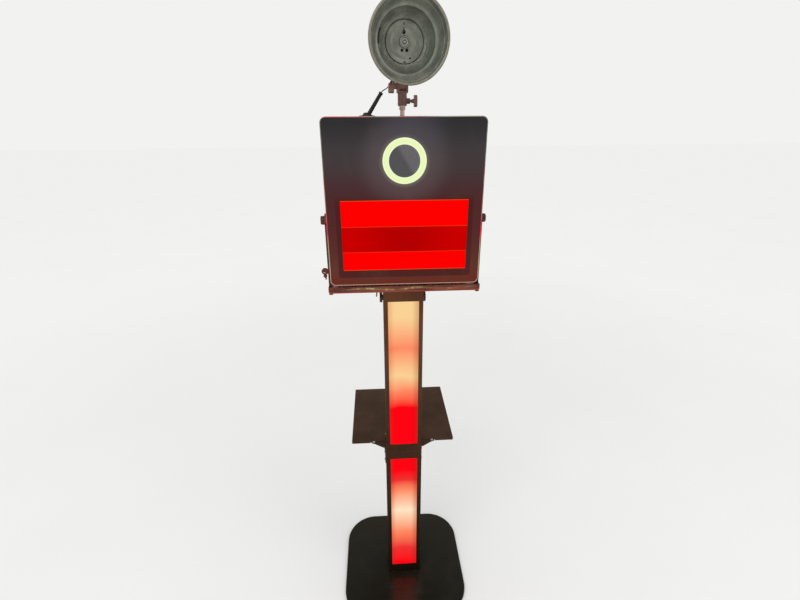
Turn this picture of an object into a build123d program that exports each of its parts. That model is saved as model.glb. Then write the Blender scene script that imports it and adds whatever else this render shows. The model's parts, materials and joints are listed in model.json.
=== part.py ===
from build123d import *
import os
from math import cos, sin, tan, radians

# Photo booth: a lit two-part column on a heavy floor plate, a tilting head with a
# touch screen, a ring light and a camera, a printer shelf, and a studio flash on top.
# Origin: centre of the underside of the base, on the floor.
# +X is the viewer's right, the front faces -Y, +Z is up. Millimetres.

os.makedirs("parts", exist_ok=True)

# ---------------------------------------------------------------- driving sizes
# base
BASE_W, BASE_D, BASE_R = 475.0, 455.0, 118.0
PAD_T, PLATE_T = 2.0, 8.0
BASE_TOP = PAD_T + PLATE_T

# column
COLUMN_D = 100.0
FRONT_Y, REAR_Y = -COLUMN_D / 2, COLUMN_D / 2
LOWER_W, UPPER_W = 128.0, 124.0
WALL = 2.0
LIP = 12.0
JOINT_Z = 632.0
COLUMN_TOP = 1263.7
PLATE_END_T = 4.0
WINDOW_W = 97.0
LOWER_WINDOW = (52.0, 600.0)
UPPER_WINDOW = (665.0, 1215.0)
DIFFUSER_T = 3.0
LED_BACK_Y = -30.0
COVER_SCREWS = 4

# shelf for the printer
SHELF_W, SHELF_T = 378.0, 2.0
SHELF_FRONT, SHELF_BACK = 12.0, 355.0
SHELF_LIP = 8.0
BRACKET_T = 3.0
BRACKET_LOW_Z = 545.0
TAB_X = 119.0
TAB_FRONT = -20.0

# mast and yoke
MAST_W, MAST_D, MAST_WALL = 80.0, 54.0, 3.0
MAST_LOW_Z = 1080.0
FLANGE_T = 6.0
YOKE_Z = 1270.0
YOKE_T = 3.0
YOKE_HALF = 219.5
YOKE_FRONT, YOKE_BACK = -109.0, 31.0
YOKE_LIP_TOP = 1288.0
FOOT_W, FOOT_D, FOOT_H = 11.0, 16.0, 4.0
KNOB_Z = 1212.0

# head
HEAD_W, HEAD_LOW, HEAD_TOP, HEAD_R = 423.0, 1296.0, 1740.0, 15.0
HEAD_FRONT, SEAM_Y, HEAD_BACK = -115.0, -15.0, 35.0
HEAD_WALL = 1.5
HEAD_H = HEAD_TOP - HEAD_LOW
HEAD_Z = (HEAD_TOP + HEAD_LOW) / 2
PIVOT_Y, PIVOT_Z = -71.0, 1475.0
SCREEN_W, SCREEN_H, SCREEN_Z = 344.2, 193.6, 1437.0
RING_Z, RING_OUT, RING_IN = 1633.0, 57.3, 40.6
PANEL_T = 4.0
PANEL_FRONT = HEAD_FRONT + 0.3
PANEL_BACK = PANEL_FRONT + PANEL_T
TRIM_W, TRIM_D = 2.5, 12.0
HINGE_X, HINGE_Y, HINGE_R = 213.7, SEAM_Y + 2.2, 1.9
LOCK_Y, LOCK_Z = -38.0, 1315.0

# flash
STUD_X, STUD_Y = -1.0, -40.0
TILT_Z = 1812.0
FLASH_UP = 96.0
FLASH_PAN, FLASH_TILT = 6.0, 4.0
RIM_R, RIM_FWD = 94.0, 100.0
FACE_R, FACE_FWD = 46.5, 30.0
LEAD_D = 2.4

GAP = 0.3          # between pieces that move past each other
SCREW_CLEAR = 0.1  # a screw's shank in its hole, on the radius


def front_plane(y):
    """A drawing plane that looks at the front: local x is +X, local y is +Z."""
    return Plane(origin=(0, y, 0), x_dir=(1, 0, 0), z_dir=(0, -1, 0))


def side_plane(x):
    """A drawing plane across the object: local x is +Y, local y is +Z, normal +X."""
    return Plane(origin=(x, 0, 0), x_dir=(0, 1, 0), z_dir=(1, 0, 0))


def save(builder, name):
    builder.part.label = name
    export_step(builder.part, f"parts/{name}.step")


# ---------------------------------------------------------------- base
BASE_BOLTS = [(x, y) for x in (-44, 44) for y in (-30, 30)]

with BuildPart() as base_pad:
    with BuildSketch():
        RectangleRounded(BASE_W - 24, BASE_D - 24, BASE_R - 12)
    extrude(amount=PAD_T)
save(base_pad, "base_pad")

with BuildPart() as base_plate:
    with BuildSketch(Plane.XY.offset(PAD_T)):
        RectangleRounded(BASE_W, BASE_D, BASE_R)
    extrude(amount=PLATE_T)
    fillet(base_plate.edges().group_by(Axis.Z)[-1], radius=2.5)
    with Locations(Plane(origin=(0, 0, PAD_T), x_dir=(1, 0, 0), z_dir=(0, 0, -1))):
        with Locations(*[(x, -y) for x, y in BASE_BOLTS]):
            CounterSinkHole(radius=4.2, counter_sink_radius=8.6, depth=PLATE_T)
save(base_plate, "base_plate")

with BuildPart() as base_screws:
    for x, y in BASE_BOLTS:
        with BuildSketch(Plane(origin=(x, y, PAD_T), x_dir=(1, 0, 0), z_dir=(0, -1, 0))):
            with BuildLine():
                Polyline((0, 0.2), (8.2, 0.2), (4.0, 4.4), (4.0, 20.0), (0, 20.0), close=True)
            make_face()
        revolve(axis=Axis((x, y, 0), (0, 0, 1)))
save(base_screws, "base_screws")


# ---------------------------------------------------------------- column
def cover_screw_places(width, bottom, top):
    """Centres (x, z) of the screws that hold a back cover to a module's rear lips."""
    x = width / 2 - WALL - LIP / 2
    step = (top - bottom - 60) / (COVER_SCREWS - 1)
    return [(side * x, bottom + 30 + i * step) for side in (-1, 1) for i in range(COVER_SCREWS)]


def column_module(width, bottom, top, window, cutters):
    """Folded sheet shell of one module: front, sides, rear lips and two end plates."""
    low, high = window
    with BuildPart() as shell:
        with BuildSketch(Plane.XY.offset(bottom)):
            Rectangle(width, COLUMN_D)
            with Locations((0, WALL)):
                Rectangle(width - 2 * WALL, COLUMN_D, mode=Mode.SUBTRACT)
            for side in (-1, 1):
                with Locations((side * (width / 2 - WALL / 2), 0)):
                    Rectangle(WALL, COLUMN_D)
                with Locations((side * (width / 2 - WALL - LIP / 2), REAR_Y - 3)):
                    Rectangle(LIP, WALL)
        extrude(amount=top - bottom)
        fillet(shell.edges().filter_by(Axis.Z).group_by(Axis.Y)[0], radius=3)
        for z in (bottom, top - PLATE_END_T):
            with BuildSketch(Plane.XY.offset(z)):
                with Locations((0, -1)):
                    Rectangle(width - 2 * WALL, COLUMN_D - 6)
            extrude(amount=PLATE_END_T)
        with BuildSketch(front_plane(FRONT_Y)):
            with Locations((0, (low + high) / 2)):
                RectangleRounded(WINDOW_W, high - low, 2)
        extrude(amount=-WALL, mode=Mode.SUBTRACT)
        with BuildSketch(front_plane(REAR_Y - 2)):
            with Locations(*cover_screw_places(width, bottom, top)):
                Circle(2.0 + SCREW_CLEAR)
        extrude(amount=WALL, mode=Mode.SUBTRACT)
        for cutter in cutters:
            add(cutter, mode=Mode.SUBTRACT)
    return shell


MODULE_BOLTS = [(x, y) for x in (-40, 40) for y in (-14, 30)]
CABLE_HOLE = (0, 8)
CABLE_HOLE_R = 14.0
BORE_CLEAR = 0.3


def plate_holes(bottom, places, radius):
    """Cutter for round holes through one end plate."""
    with BuildPart() as cutter:
        with BuildSketch(Plane.XY.offset(bottom - 0.5)):
            with Locations(*places):
                Circle(radius)
        extrude(amount=PLATE_END_T + 1)
    return cutter.part


def knob_stud_hole():
    """Cutter for the two clamp knobs' studs, straight across the column's top."""
    with BuildPart() as cutter:
        with BuildSketch(side_plane(-UPPER_W / 2 - 1)):
            with Locations((0, KNOB_Z)):
                Circle(4 + 0.08)
        extrude(amount=UPPER_W + 2)
    return cutter.part


with BuildPart() as mast_opening:
    with BuildSketch(Plane.XY.offset(COLUMN_TOP - PLATE_END_T - 1)):
        Rectangle(MAST_W + 2 * BORE_CLEAR, MAST_D + 2 * BORE_CLEAR)
    extrude(amount=PLATE_END_T + 2)

lower_cutters = [
    plate_holes(BASE_TOP, BASE_BOLTS, 4 + SCREW_CLEAR),
    plate_holes(JOINT_Z - PLATE_END_T, MODULE_BOLTS, 4 + SCREW_CLEAR),
    plate_holes(JOINT_Z - PLATE_END_T, [CABLE_HOLE], CABLE_HOLE_R),
]
upper_cutters = [
    plate_holes(JOINT_Z, MODULE_BOLTS, 4 + SCREW_CLEAR),
    plate_holes(JOINT_Z, [CABLE_HOLE], CABLE_HOLE_R),
    mast_opening.part,
    knob_stud_hole(),
]
lower_column = column_module(LOWER_W, BASE_TOP, JOINT_Z, LOWER_WINDOW, lower_cutters)
save(lower_column, "lower_column")
upper_column = column_module(UPPER_W, JOINT_Z, COLUMN_TOP, UPPER_WINDOW, upper_cutters)
save(upper_column, "upper_column")

with BuildPart() as module_bolts:
    for x, y in MODULE_BOLTS:
        with BuildSketch(Plane.XY.offset(JOINT_Z - PLATE_END_T - 7)):
            with Locations((x, y)):
                RegularPolygon(7.5, 6)
        extrude(amount=7)
        with BuildSketch(Plane.XY.offset(JOINT_Z - PLATE_END_T)):
            with Locations((x, y)):
                Circle(4)
        extrude(amount=2 * PLATE_END_T)
        with BuildSketch(Plane.XY.offset(JOINT_Z + PLATE_END_T)):
            with Locations((x, y)):
                RegularPolygon(7.5, 6)
        extrude(amount=7)
save(module_bolts, "module_bolts")

INLET_X, SWITCH_X, INLET_Z = -12.0, 18.0, 90.0
INLET_FLANGE = (60.0, 34.0)
INLET_BODY = (54.0, 28.0)


def back_cover(width, bottom, top, cutters):
    """Flat rear cover that lies on the lips, between the side walls."""
    with BuildPart() as cover:
        with BuildSketch(front_plane(REAR_Y)):
            with Locations((0, (bottom + top) / 2)):
                Rectangle(width - 2 * WALL - 2 * GAP, top - bottom - 2)
            with Locations(*cover_screw_places(width, bottom, top)):
                Circle(2.0 + SCREW_CLEAR, mode=Mode.SUBTRACT)
            with Locations((0, bottom + 150), (0, top - 110)):
                with GridLocations(0, 9, 1, 6):
                    SlotOverall(60, 3.5, mode=Mode.SUBTRACT)
        extrude(amount=WALL)
        for cutter in cutters:
            add(cutter, mode=Mode.SUBTRACT)
    return cover


with BuildPart() as inlet_opening:
    with BuildSketch(front_plane(REAR_Y + 1)):
        with Locations((0, INLET_Z)):
            Rectangle(*INLET_BODY)
    extrude(amount=WALL + 2)

lower_back_cover = back_cover(LOWER_W, BASE_TOP, JOINT_Z, [inlet_opening.part])
save(lower_back_cover, "lower_back_cover")
upper_back_cover = back_cover(UPPER_W, JOINT_Z, COLUMN_TOP, [])
save(upper_back_cover, "upper_back_cover")

with BuildPart() as cover_screws:
    for width, bottom, top in ((LOWER_W, BASE_TOP, JOINT_Z), (UPPER_W, JOINT_Z, COLUMN_TOP)):
        for x, z in cover_screw_places(width, bottom, top):
            with BuildSketch(Plane(origin=(x, REAR_Y, z), x_dir=(1, 0, 0), z_dir=(0, 0, 1))):
                with BuildLine():
                    Polyline((0, -6), (2.0, -6), (2.0, 0), (3.6, 0), (3.6, 0.9), (2.6, 2.0), (0, 2.0), close=True)
                make_face()
            revolve(axis=Axis((x, REAR_Y, z), (0, 1, 0)))
save(cover_screws, "cover_screws")


# ---------------------------------------------------------------- light panels
def diffuser(window):
    """Opal sheet behind a window."""
    low, high = window
    with BuildPart() as sheet:
        with BuildSketch(front_plane(FRONT_Y + WALL + DIFFUSER_T)):
            with Locations((0, (low + high) / 2)):
                RectangleRounded(WINDOW_W + 10, high - low + 10, 3)
        extrude(amount=DIFFUSER_T)
    return sheet


def led_board(width, window):
    """Circuit board that slides between the side walls, with rows of LED chips."""
    low, high = window
    rows = int((high - low) / 24)
    with BuildPart() as board:
        with BuildSketch(front_plane(LED_BACK_Y)):
            with Locations((0, (low + high) / 2)):
                Rectangle(width - 2 * WALL, high - low)
        extrude(amount=1.6)
        with BuildSketch(front_plane(LED_BACK_Y - 1.6)):
            with Locations((0, (low + high) / 2)):
                with GridLocations(24, 24, 4, rows):
                    Rectangle(5, 5)
        extrude(amount=1.4)
    return board


lower_diffuser = diffuser(LOWER_WINDOW)
save(lower_diffuser, "lower_diffuser")
upper_diffuser = diffuser(UPPER_WINDOW)
save(upper_diffuser, "upper_diffuser")
with BuildPart() as led_boards:
    add(led_board(LOWER_W, LOWER_WINDOW).part)
    add(led_board(UPPER_W, UPPER_WINDOW).part)
save(led_boards, "led_boards")

with BuildPart() as power_supply:
    with BuildSketch(front_plane(REAR_Y - WALL)):
        with Locations((0, 330)):
            Rectangle(97, 200)
    extrude(amount=36)
    fillet(power_supply.edges().filter_by(Axis.Y), radius=1.5)
    with BuildSketch(Plane.XY.offset(430)):
        with GridLocations(12, 0, 6, 1):
            with Locations((0, 28)):
                Rectangle(8, 14)
    extrude(amount=-5, mode=Mode.SUBTRACT)
save(power_supply, "power_supply")

with BuildPart() as led_controller:
    with BuildSketch(front_plane(REAR_Y - WALL)):
        with Locations((0, 780)):
            RectangleRounded(80, 110, 4)
    extrude(amount=25)
    with BuildSketch(Plane.XY.offset(835)):
        with Locations((0, 36)):
            Rectangle(50, 10)
    extrude(amount=-6, mode=Mode.SUBTRACT)
save(led_controller, "led_controller")

# appliance inlet with its pins, and a switch frame beside it, in one moulding
PIN_SPREAD = 7.0
SOCKET = (25.0, 17.0)
SOCKET_DEPTH = 18.0
ROCKER_W, ROCKER_H = 12.0, 18.0
ROCKER_Y = REAR_Y - 1.0

with BuildPart() as power_inlet:
    with BuildSketch(front_plane(REAR_Y)):
        with Locations((0, INLET_Z)):
            RectangleRounded(*INLET_FLANGE, 3)
    extrude(amount=-2.5)
    with BuildSketch(front_plane(REAR_Y)):
        with Locations((0, INLET_Z)):
            Rectangle(INLET_BODY[0] - GAP, INLET_BODY[1] - GAP)
    extrude(amount=26)
    with BuildSketch(front_plane(REAR_Y + 2.5)):
        with Locations((INLET_X, INLET_Z)):
            RectangleRounded(*SOCKET, 3)
        with Locations((SWITCH_X, INLET_Z)):
            Rectangle(ROCKER_W + 2 * GAP, ROCKER_H + 3)
    extrude(amount=SOCKET_DEPTH, mode=Mode.SUBTRACT)
    with BuildSketch(front_plane(REAR_Y + 2.5 - SOCKET_DEPTH)):
        with Locations((INLET_X - PIN_SPREAD, INLET_Z - 2), (INLET_X, INLET_Z + 2), (INLET_X + PIN_SPREAD, INLET_Z - 2)):
            Rectangle(2, 4)
    extrude(amount=-10)
save(power_inlet, "power_inlet")

# rocker: a shallow V across its face, so either half can be pressed flush
ROCKER_TILT = 8.0
ROCKER_PLANE = Plane(
    origin=(SWITCH_X - ROCKER_W / 2, ROCKER_Y, INLET_Z),
    x_dir=(0, cos(radians(ROCKER_TILT)), sin(radians(ROCKER_TILT))),
    z_dir=(1, 0, 0),
)
with BuildPart() as power_switch:
    with BuildSketch(ROCKER_PLANE):
        with BuildLine():
            Polyline((-6, -5), (-6, 5), (3, 8.8), (5.6, 8.8), (4.2, 0), (5.6, -8.8), (3, -8.8), close=True)
        make_face()
    extrude(amount=ROCKER_W)
save(power_switch, "power_switch")


# ---------------------------------------------------------------- shelf
SHELF_D = SHELF_BACK - SHELF_FRONT
SHELF_MID = (SHELF_BACK + SHELF_FRONT) / 2
SHELF_SCREWS = [(side * 108.0, 8.0) for side in (-1, 1)]
SHELF_STUDS = [(side * 108.0, 120.0) for side in (-1, 1)]
BRACKET_SCREWS = [(y, z) for y in (-8.0, 30.0) for z in (565.0, 610.0)]
SINK_R, SINK_DEPTH = 4.4, 1.9
TAB_BACK = 140.0
SIDE_X = LOWER_W / 2


def shelf_bracket(side):
    """Angle bracket: a flange on the column's side and a tab under the shelf."""
    with BuildPart() as bracket:
        with BuildSketch(side_plane(side * SIDE_X)):
            with BuildLine():
                Polyline(
                    (TAB_FRONT, JOINT_Z - SHELF_T), (TAB_FRONT, 585), (TAB_FRONT + 12, BRACKET_LOW_Z),
                    (34, BRACKET_LOW_Z), (TAB_BACK, JOINT_Z - 14), (TAB_BACK, JOINT_Z - SHELF_T), close=True,
                )
            make_face()
            with Locations(*BRACKET_SCREWS):
                Circle(2.5 + SCREW_CLEAR, mode=Mode.SUBTRACT)
        extrude(amount=side * BRACKET_T)
        with BuildSketch(Plane.XY.offset(JOINT_Z - SHELF_T - BRACKET_T)):
            with BuildLine():
                Polyline(
                    (side * SIDE_X, TAB_FRONT), (side * (SIDE_X + 8), TAB_FRONT), (side * TAB_X, SHELF_FRONT),
                    (side * TAB_X, TAB_BACK), (side * SIDE_X, TAB_BACK), close=True,
                )
            make_face()
            with Locations(*[(x, y) for x, y in SHELF_SCREWS + SHELF_STUDS if x * side > 0]):
                Circle(2.5 + SCREW_CLEAR, mode=Mode.SUBTRACT)
        extrude(amount=BRACKET_T)
    return bracket


shelf_bracket_left = shelf_bracket(-1)
save(shelf_bracket_left, "shelf_bracket_left")
shelf_bracket_right = shelf_bracket(1)
save(shelf_bracket_right, "shelf_bracket_right")

with BuildPart() as shelf_plate:
    with BuildSketch(Plane.XY.offset(JOINT_Z)):
        with Locations((0, SHELF_MID)):
            RectangleRounded(SHELF_W, SHELF_D, 4)
    extrude(amount=-SHELF_LIP)
    with BuildSketch(Plane.XY.offset(JOINT_Z - SHELF_T)):
        with Locations((0, SHELF_MID)):
            RectangleRounded(SHELF_W - 2 * SHELF_T, SHELF_D - 2 * SHELF_T, 3)
    extrude(amount=-SHELF_LIP, mode=Mode.SUBTRACT)
    # ears for the two front screws, and weld studs for the nuts farther back
    with BuildSketch(Plane.XY.offset(JOINT_Z)):
        with Locations(*[(x, SHELF_FRONT - 1) for x, y in SHELF_SCREWS]):
            RectangleRounded(17, 18, 2)
    extrude(amount=-SHELF_T)
    with BuildSketch(Plane.XY.offset(JOINT_Z - SHELF_T + 0.5)):
        with Locations(*SHELF_STUDS):
            Circle(2.5)
    extrude(amount=-10)
    # room for the column, and for the tabs that come forward under the front edge
    with BuildSketch(Plane.XY.offset(JOINT_Z)):
        with Locations((0, REAR_Y / 2)):
            Rectangle(LOWER_W + 2, REAR_Y + 8)
    extrude(amount=-SHELF_LIP, mode=Mode.SUBTRACT)
    with BuildSketch(Plane.XY.offset(JOINT_Z - SHELF_T)):
        with Locations((0, SHELF_FRONT)):
            Rectangle(2 * TAB_X + 2, 2 * SHELF_T + 4)
    extrude(amount=-SHELF_LIP, mode=Mode.SUBTRACT)
    with BuildSketch(Plane.XY.offset(JOINT_Z - SHELF_T)):
        with Locations(*SHELF_SCREWS):
            Circle(2.5 + SCREW_CLEAR)
    extrude(amount=SHELF_T, mode=Mode.SUBTRACT)
    # countersinks for the screw heads, which lie flush
    with BuildSketch(Plane.XY.offset(JOINT_Z)):
        with Locations(*SHELF_SCREWS):
            Circle(SINK_R + SCREW_CLEAR)
    extrude(amount=-SINK_DEPTH, taper=45, mode=Mode.SUBTRACT)
save(shelf_plate, "shelf_plate")

with BuildPart() as shelf_screws:
    for x, y in SHELF_SCREWS:
        with BuildSketch(Plane(origin=(x, y, JOINT_Z), x_dir=(1, 0, 0), z_dir=(0, -1, 0))):
            with BuildLine():
                Polyline((0, -8), (2.5, -8), (2.5, -SINK_DEPTH), (SINK_R, 0), (0, 0), close=True)
            make_face()
        revolve(axis=Axis((x, y, 0), (0, 0, 1)))
    with BuildSketch(Plane.XY.offset(JOINT_Z - SHELF_T - BRACKET_T)):
        with Locations(*SHELF_STUDS):
            RegularPolygon(radius=4.6, side_count=6)
            Circle(2.55, mode=Mode.SUBTRACT)
    extrude(amount=-3.6)
    for side in (-1, 1):
        for y, z in BRACKET_SCREWS:
            with BuildSketch(side_plane(side * (SIDE_X + BRACKET_T))):
                with Locations((y, z)):
                    Circle(4.4)
            extrude(amount=side * 2.2)
            with BuildSketch(side_plane(side * SIDE_X)):
                with Locations((y, z)):
                    Circle(2.5)
            extrude(amount=side * BRACKET_T)
save(shelf_screws, "shelf_screws")

# ---------------------------------------------------------------- mast, guide and clamp knobs
GUIDE_LOW = 1196.0
GUIDE_FRONT = LED_BACK_Y + 0.5
GUIDE_BACK = REAR_Y - 6.5

with BuildPart() as mast_guide:
    with BuildSketch(Plane.XY.offset(GUIDE_LOW)):
        with Locations((0, (GUIDE_FRONT + GUIDE_BACK) / 2)):
            Rectangle(UPPER_W - 2 * WALL, GUIDE_BACK - GUIDE_FRONT)
        Rectangle(MAST_W + 2 * BORE_CLEAR, MAST_D + 2 * BORE_CLEAR, mode=Mode.SUBTRACT)
    extrude(amount=COLUMN_TOP - PLATE_END_T - GUIDE_LOW)
    add(knob_stud_hole(), mode=Mode.SUBTRACT)
save(mast_guide, "mast_guide")


def knob_plane(x, y, z, side):
    return Plane(origin=(x, y, z), x_dir=(0, 1, 0), z_dir=(side, 0, 0))


CLAMP_STUD = UPPER_W / 2 + 0.5 - MAST_W / 2 - GAP
for side, word in ((-1, "left"), (1, "right")):
    with BuildPart() as clamp_knob:
        plane = knob_plane(side * (UPPER_W / 2 + 0.5), 0, KNOB_Z, side)
        with BuildSketch(plane):
            Circle(9)
        extrude(amount=2)
        with BuildSketch(plane.offset(2)):
            Circle(16.5)
            with PolarLocations(18.1, 8):
                Circle(3.4, mode=Mode.SUBTRACT)
        extrude(amount=8.5, taper=4)
        with BuildSketch(plane):
            Circle(4)
        extrude(amount=-CLAMP_STUD)
    save(clamp_knob, f"clamp_knob_{word}")

with BuildPart() as mast_tube:
    with BuildSketch(Plane.XY.offset(MAST_LOW_Z)):
        Rectangle(MAST_W, MAST_D)
        Rectangle(MAST_W - 2 * MAST_WALL, MAST_D - 2 * MAST_WALL, mode=Mode.SUBTRACT)
    extrude(amount=YOKE_Z - MAST_LOW_Z)
    with BuildSketch(Plane.XY.offset(YOKE_Z - FLANGE_T)):
        RectangleRounded(116, 92, 6)
        Rectangle(MAST_W - 2 * MAST_WALL, MAST_D - 2 * MAST_WALL, mode=Mode.SUBTRACT)
        with GridLocations(98, 74, 2, 2):
            Circle(3 + SCREW_CLEAR, mode=Mode.SUBTRACT)
    extrude(amount=FLANGE_T)
save(mast_tube, "mast_tube")

# ---------------------------------------------------------------- yoke
YOKE_LEN = YOKE_BACK - YOKE_FRONT
YOKE_MID = (YOKE_BACK + YOKE_FRONT) / 2
ARM_HALF = 19.0
BEND_R = 6.0

with BuildPart() as yoke:
    with BuildSketch(front_plane(YOKE_FRONT)):
        with Locations((0, YOKE_Z + 60)):
            Rectangle(2 * YOKE_HALF, 120)
    extrude(amount=-YOKE_LEN)
    fillet(yoke.edges().filter_by(Axis.Y).group_by(Axis.Z)[0], radius=BEND_R)
    with BuildSketch(front_plane(YOKE_FRONT)):
        with Locations((0, YOKE_Z + YOKE_T + 60)):
            Rectangle(2 * (YOKE_HALF - YOKE_T), 120)
    extrude(amount=-YOKE_LEN, mode=Mode.SUBTRACT)
    # above the lips, only the two arms are left
    with BuildSketch(Plane.XY.offset(YOKE_LIP_TOP)):
        with Locations((0, YOKE_MID)):
            Rectangle(2 * YOKE_HALF + 2, YOKE_LEN + 2)
    extrude(amount=120, mode=Mode.SUBTRACT)
    # front and rear lips
    with BuildSketch(Plane.XY.offset(YOKE_Z + YOKE_T)):
        with Locations((0, YOKE_FRONT + YOKE_T / 2), (0, YOKE_BACK - YOKE_T / 2)):
            Rectangle(2 * YOKE_HALF, YOKE_T)
    extrude(amount=YOKE_LIP_TOP - YOKE_Z - YOKE_T)
    for side in (-1, 1):
        with BuildSketch(side_plane(side * YOKE_HALF)):
            with Locations((PIVOT_Y, PIVOT_Z)):
                Circle(ARM_HALF)
            with Locations((PIVOT_Y, (PIVOT_Z + YOKE_LIP_TOP) / 2)):
                Rectangle(2 * ARM_HALF, PIVOT_Z - YOKE_LIP_TOP)
            with Locations((PIVOT_Y, PIVOT_Z)):
                Circle(4.1, mode=Mode.SUBTRACT)
        extrude(amount=-side * YOKE_T)
    with BuildSketch(Plane.XY.offset(YOKE_Z)):
        Rectangle(MAST_W - 2 * MAST_WALL, MAST_D - 2 * MAST_WALL)
        with GridLocations(98, 74, 2, 2):
            Circle(3 + SCREW_CLEAR)
    extrude(amount=YOKE_T, mode=Mode.SUBTRACT)
    # a stub foot under each front corner, the yoke rests on them when the head is taken down
    with BuildSketch(Plane.XY.offset(YOKE_Z - FOOT_H)):
        with Locations((YOKE_HALF - FOOT_W / 2 - 1, YOKE_FRONT + FOOT_D / 2 + 0.2)):
            RectangleRounded(FOOT_W, FOOT_D, 2)
        with Locations((-YOKE_HALF + FOOT_W / 2 + 1, YOKE_FRONT + FOOT_D / 2 + 0.2)):
            RectangleRounded(FOOT_W, FOOT_D, 2)
    extrude(amount=FOOT_H + YOKE_T - 0.5)
save(yoke, "yoke")

with BuildPart() as yoke_screws:
    with BuildSketch(Plane.XY.offset(YOKE_Z - FLANGE_T)):
        with GridLocations(98, 74, 2, 2):
            Circle(3)
    extrude(amount=FLANGE_T + YOKE_T)
    with BuildSketch(Plane.XY.offset(YOKE_Z + YOKE_T)):
        with GridLocations(98, 74, 2, 2):
            Circle(5.2)
    extrude(amount=3)
save(yoke_screws, "yoke_screws")

HEAD_HALF = HEAD_W / 2
WASHER_T = YOKE_HALF - YOKE_T - HEAD_HALF - 2 * GAP / 3
with BuildPart() as friction_washers:
    for side in (-1, 1):
        with BuildSketch(side_plane(side * (YOKE_HALF - YOKE_T))):
            with Locations((PIVOT_Y, PIVOT_Z)):
                Circle(15)
                Circle(4.1, mode=Mode.SUBTRACT)
        extrude(amount=-side * WASHER_T)
save(friction_washers, "friction_washers")

for side, word in ((-1, "left"), (1, "right")):
    with BuildPart() as tilt_knob:
        plane = knob_plane(side * (YOKE_HALF + GAP), PIVOT_Y, PIVOT_Z, side)
        with BuildSketch(plane):
            Circle(12.6)
            with PolarLocations(14.0, 6):
                Circle(3.2, mode=Mode.SUBTRACT)
        extrude(amount=11.2, taper=5)
        with BuildSketch(plane):
            Circle(4)
        extrude(amount=-20)
    save(tilt_knob, f"tilt_knob_{word}")


# ---------------------------------------------------------------- head: shell and front
def head_outline(inset, radius):
    """Sketch of the head's rounded front outline, drawn smaller by the inset."""
    with BuildSketch() as outline:
        with Locations((0, HEAD_Z)):
            RectangleRounded(HEAD_W - 2 * inset, HEAD_H - 2 * inset, radius)
    return outline.sketch


with BuildPart() as front_frame:
    with BuildSketch(front_plane(SEAM_Y)):
        add(head_outline(0, HEAD_R))
        add(head_outline(HEAD_WALL, HEAD_R - HEAD_WALL), mode=Mode.SUBTRACT)
    extrude(amount=SEAM_Y - HEAD_FRONT - TRIM_D)
    # weld nuts for the tilt knobs
    for side in (-1, 1):
        with BuildSketch(side_plane(side * (HEAD_HALF - HEAD_WALL / 2))):
            with Locations((PIVOT_Y, PIVOT_Z)):
                RectangleRounded(34, 34, 4)
        extrude(amount=-side * 9)
    with BuildSketch(side_plane(-HEAD_HALF - 1)):
        with Locations((PIVOT_Y, PIVOT_Z)):
            Circle(4 + SCREW_CLEAR)
    extrude(amount=HEAD_W + 2, mode=Mode.SUBTRACT)
    with BuildSketch(side_plane(-HEAD_HALF - 1)):
        with Locations((LOCK_Y, LOCK_Z)):
            Circle(8)
    extrude(amount=5, mode=Mode.SUBTRACT)
    with BuildSketch(Plane.XY.offset(HEAD_TOP - 5)):
        with Locations((STUD_X, STUD_Y)):
            Circle(6)
        with Locations((-94, STUD_Y)):
            Circle(8)
    extrude(amount=10, mode=Mode.SUBTRACT)
save(front_frame, "front_frame")

with BuildPart() as panel_trim:
    with BuildSketch(front_plane(HEAD_FRONT + TRIM_D)):
        add(head_outline(0, HEAD_R))
        add(head_outline(TRIM_W, HEAD_R - TRIM_W), mode=Mode.SUBTRACT)
    extrude(amount=TRIM_D)
    fillet(panel_trim.edges().group_by(Axis.Y)[0], radius=0.8)
    with BuildSketch(front_plane(PANEL_BACK + 2)):
        add(head_outline(TRIM_W, HEAD_R - TRIM_W))
        add(head_outline(TRIM_W + 5, HEAD_R - 2 * TRIM_W - 2), mode=Mode.SUBTRACT)
    extrude(amount=2)
save(panel_trim, "panel_trim")

with BuildPart() as front_panel:
    with BuildSketch(front_plane(PANEL_BACK)):
        add(head_outline(TRIM_W, HEAD_R - TRIM_W))
        with Locations((0, SCREEN_Z)):
            Rectangle(SCREEN_W, SCREEN_H, mode=Mode.SUBTRACT)
        with Locations((0, RING_Z)):
            Circle(RING_OUT, mode=Mode.SUBTRACT)
    extrude(amount=PANEL_T)
save(front_panel, "front_panel")

with BuildPart() as touch_glass:
    with BuildSketch(front_plane(PANEL_BACK)):
        with Locations((0, SCREEN_Z)):
            Rectangle(SCREEN_W, SCREEN_H)
    extrude(amount=PANEL_T)
save(touch_glass, "touch_glass")

with BuildPart() as ring_diffuser:
    with BuildSketch(front_plane(PANEL_BACK)):
        with Locations((0, RING_Z)):
            Circle(RING_OUT)
            Circle(RING_IN, mode=Mode.SUBTRACT)
    extrude(amount=PANEL_T)
save(ring_diffuser, "ring_diffuser")

with BuildPart() as lens_window:
    with BuildSketch(front_plane(PANEL_BACK)):
        with Locations((0, RING_Z)):
            Circle(RING_IN)
    extrude(amount=PANEL_T)
save(lens_window, "lens_window")

# ---------------------------------------------------------------- head: inside
DISPLAY_W, DISPLAY_LOW, DISPLAY_HIGH, DISPLAY_T = 374.0, 1322.0, 1549.0, 10.0
CHASSIS_Y = PANEL_BACK + DISPLAY_T
CHASSIS_T = 2.0
CHASSIS_Z, CHASSIS_H = 1436.0, 248.0
CAMERA_FLOOR = 1581.0

with BuildPart() as display_panel:
    with BuildSketch(front_plane(CHASSIS_Y)):
        with Locations((0, (DISPLAY_LOW + DISPLAY_HIGH) / 2)):
            RectangleRounded(DISPLAY_W, DISPLAY_HIGH - DISPLAY_LOW, 4)
    extrude(amount=DISPLAY_T)
save(display_panel, "display_panel")

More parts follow.
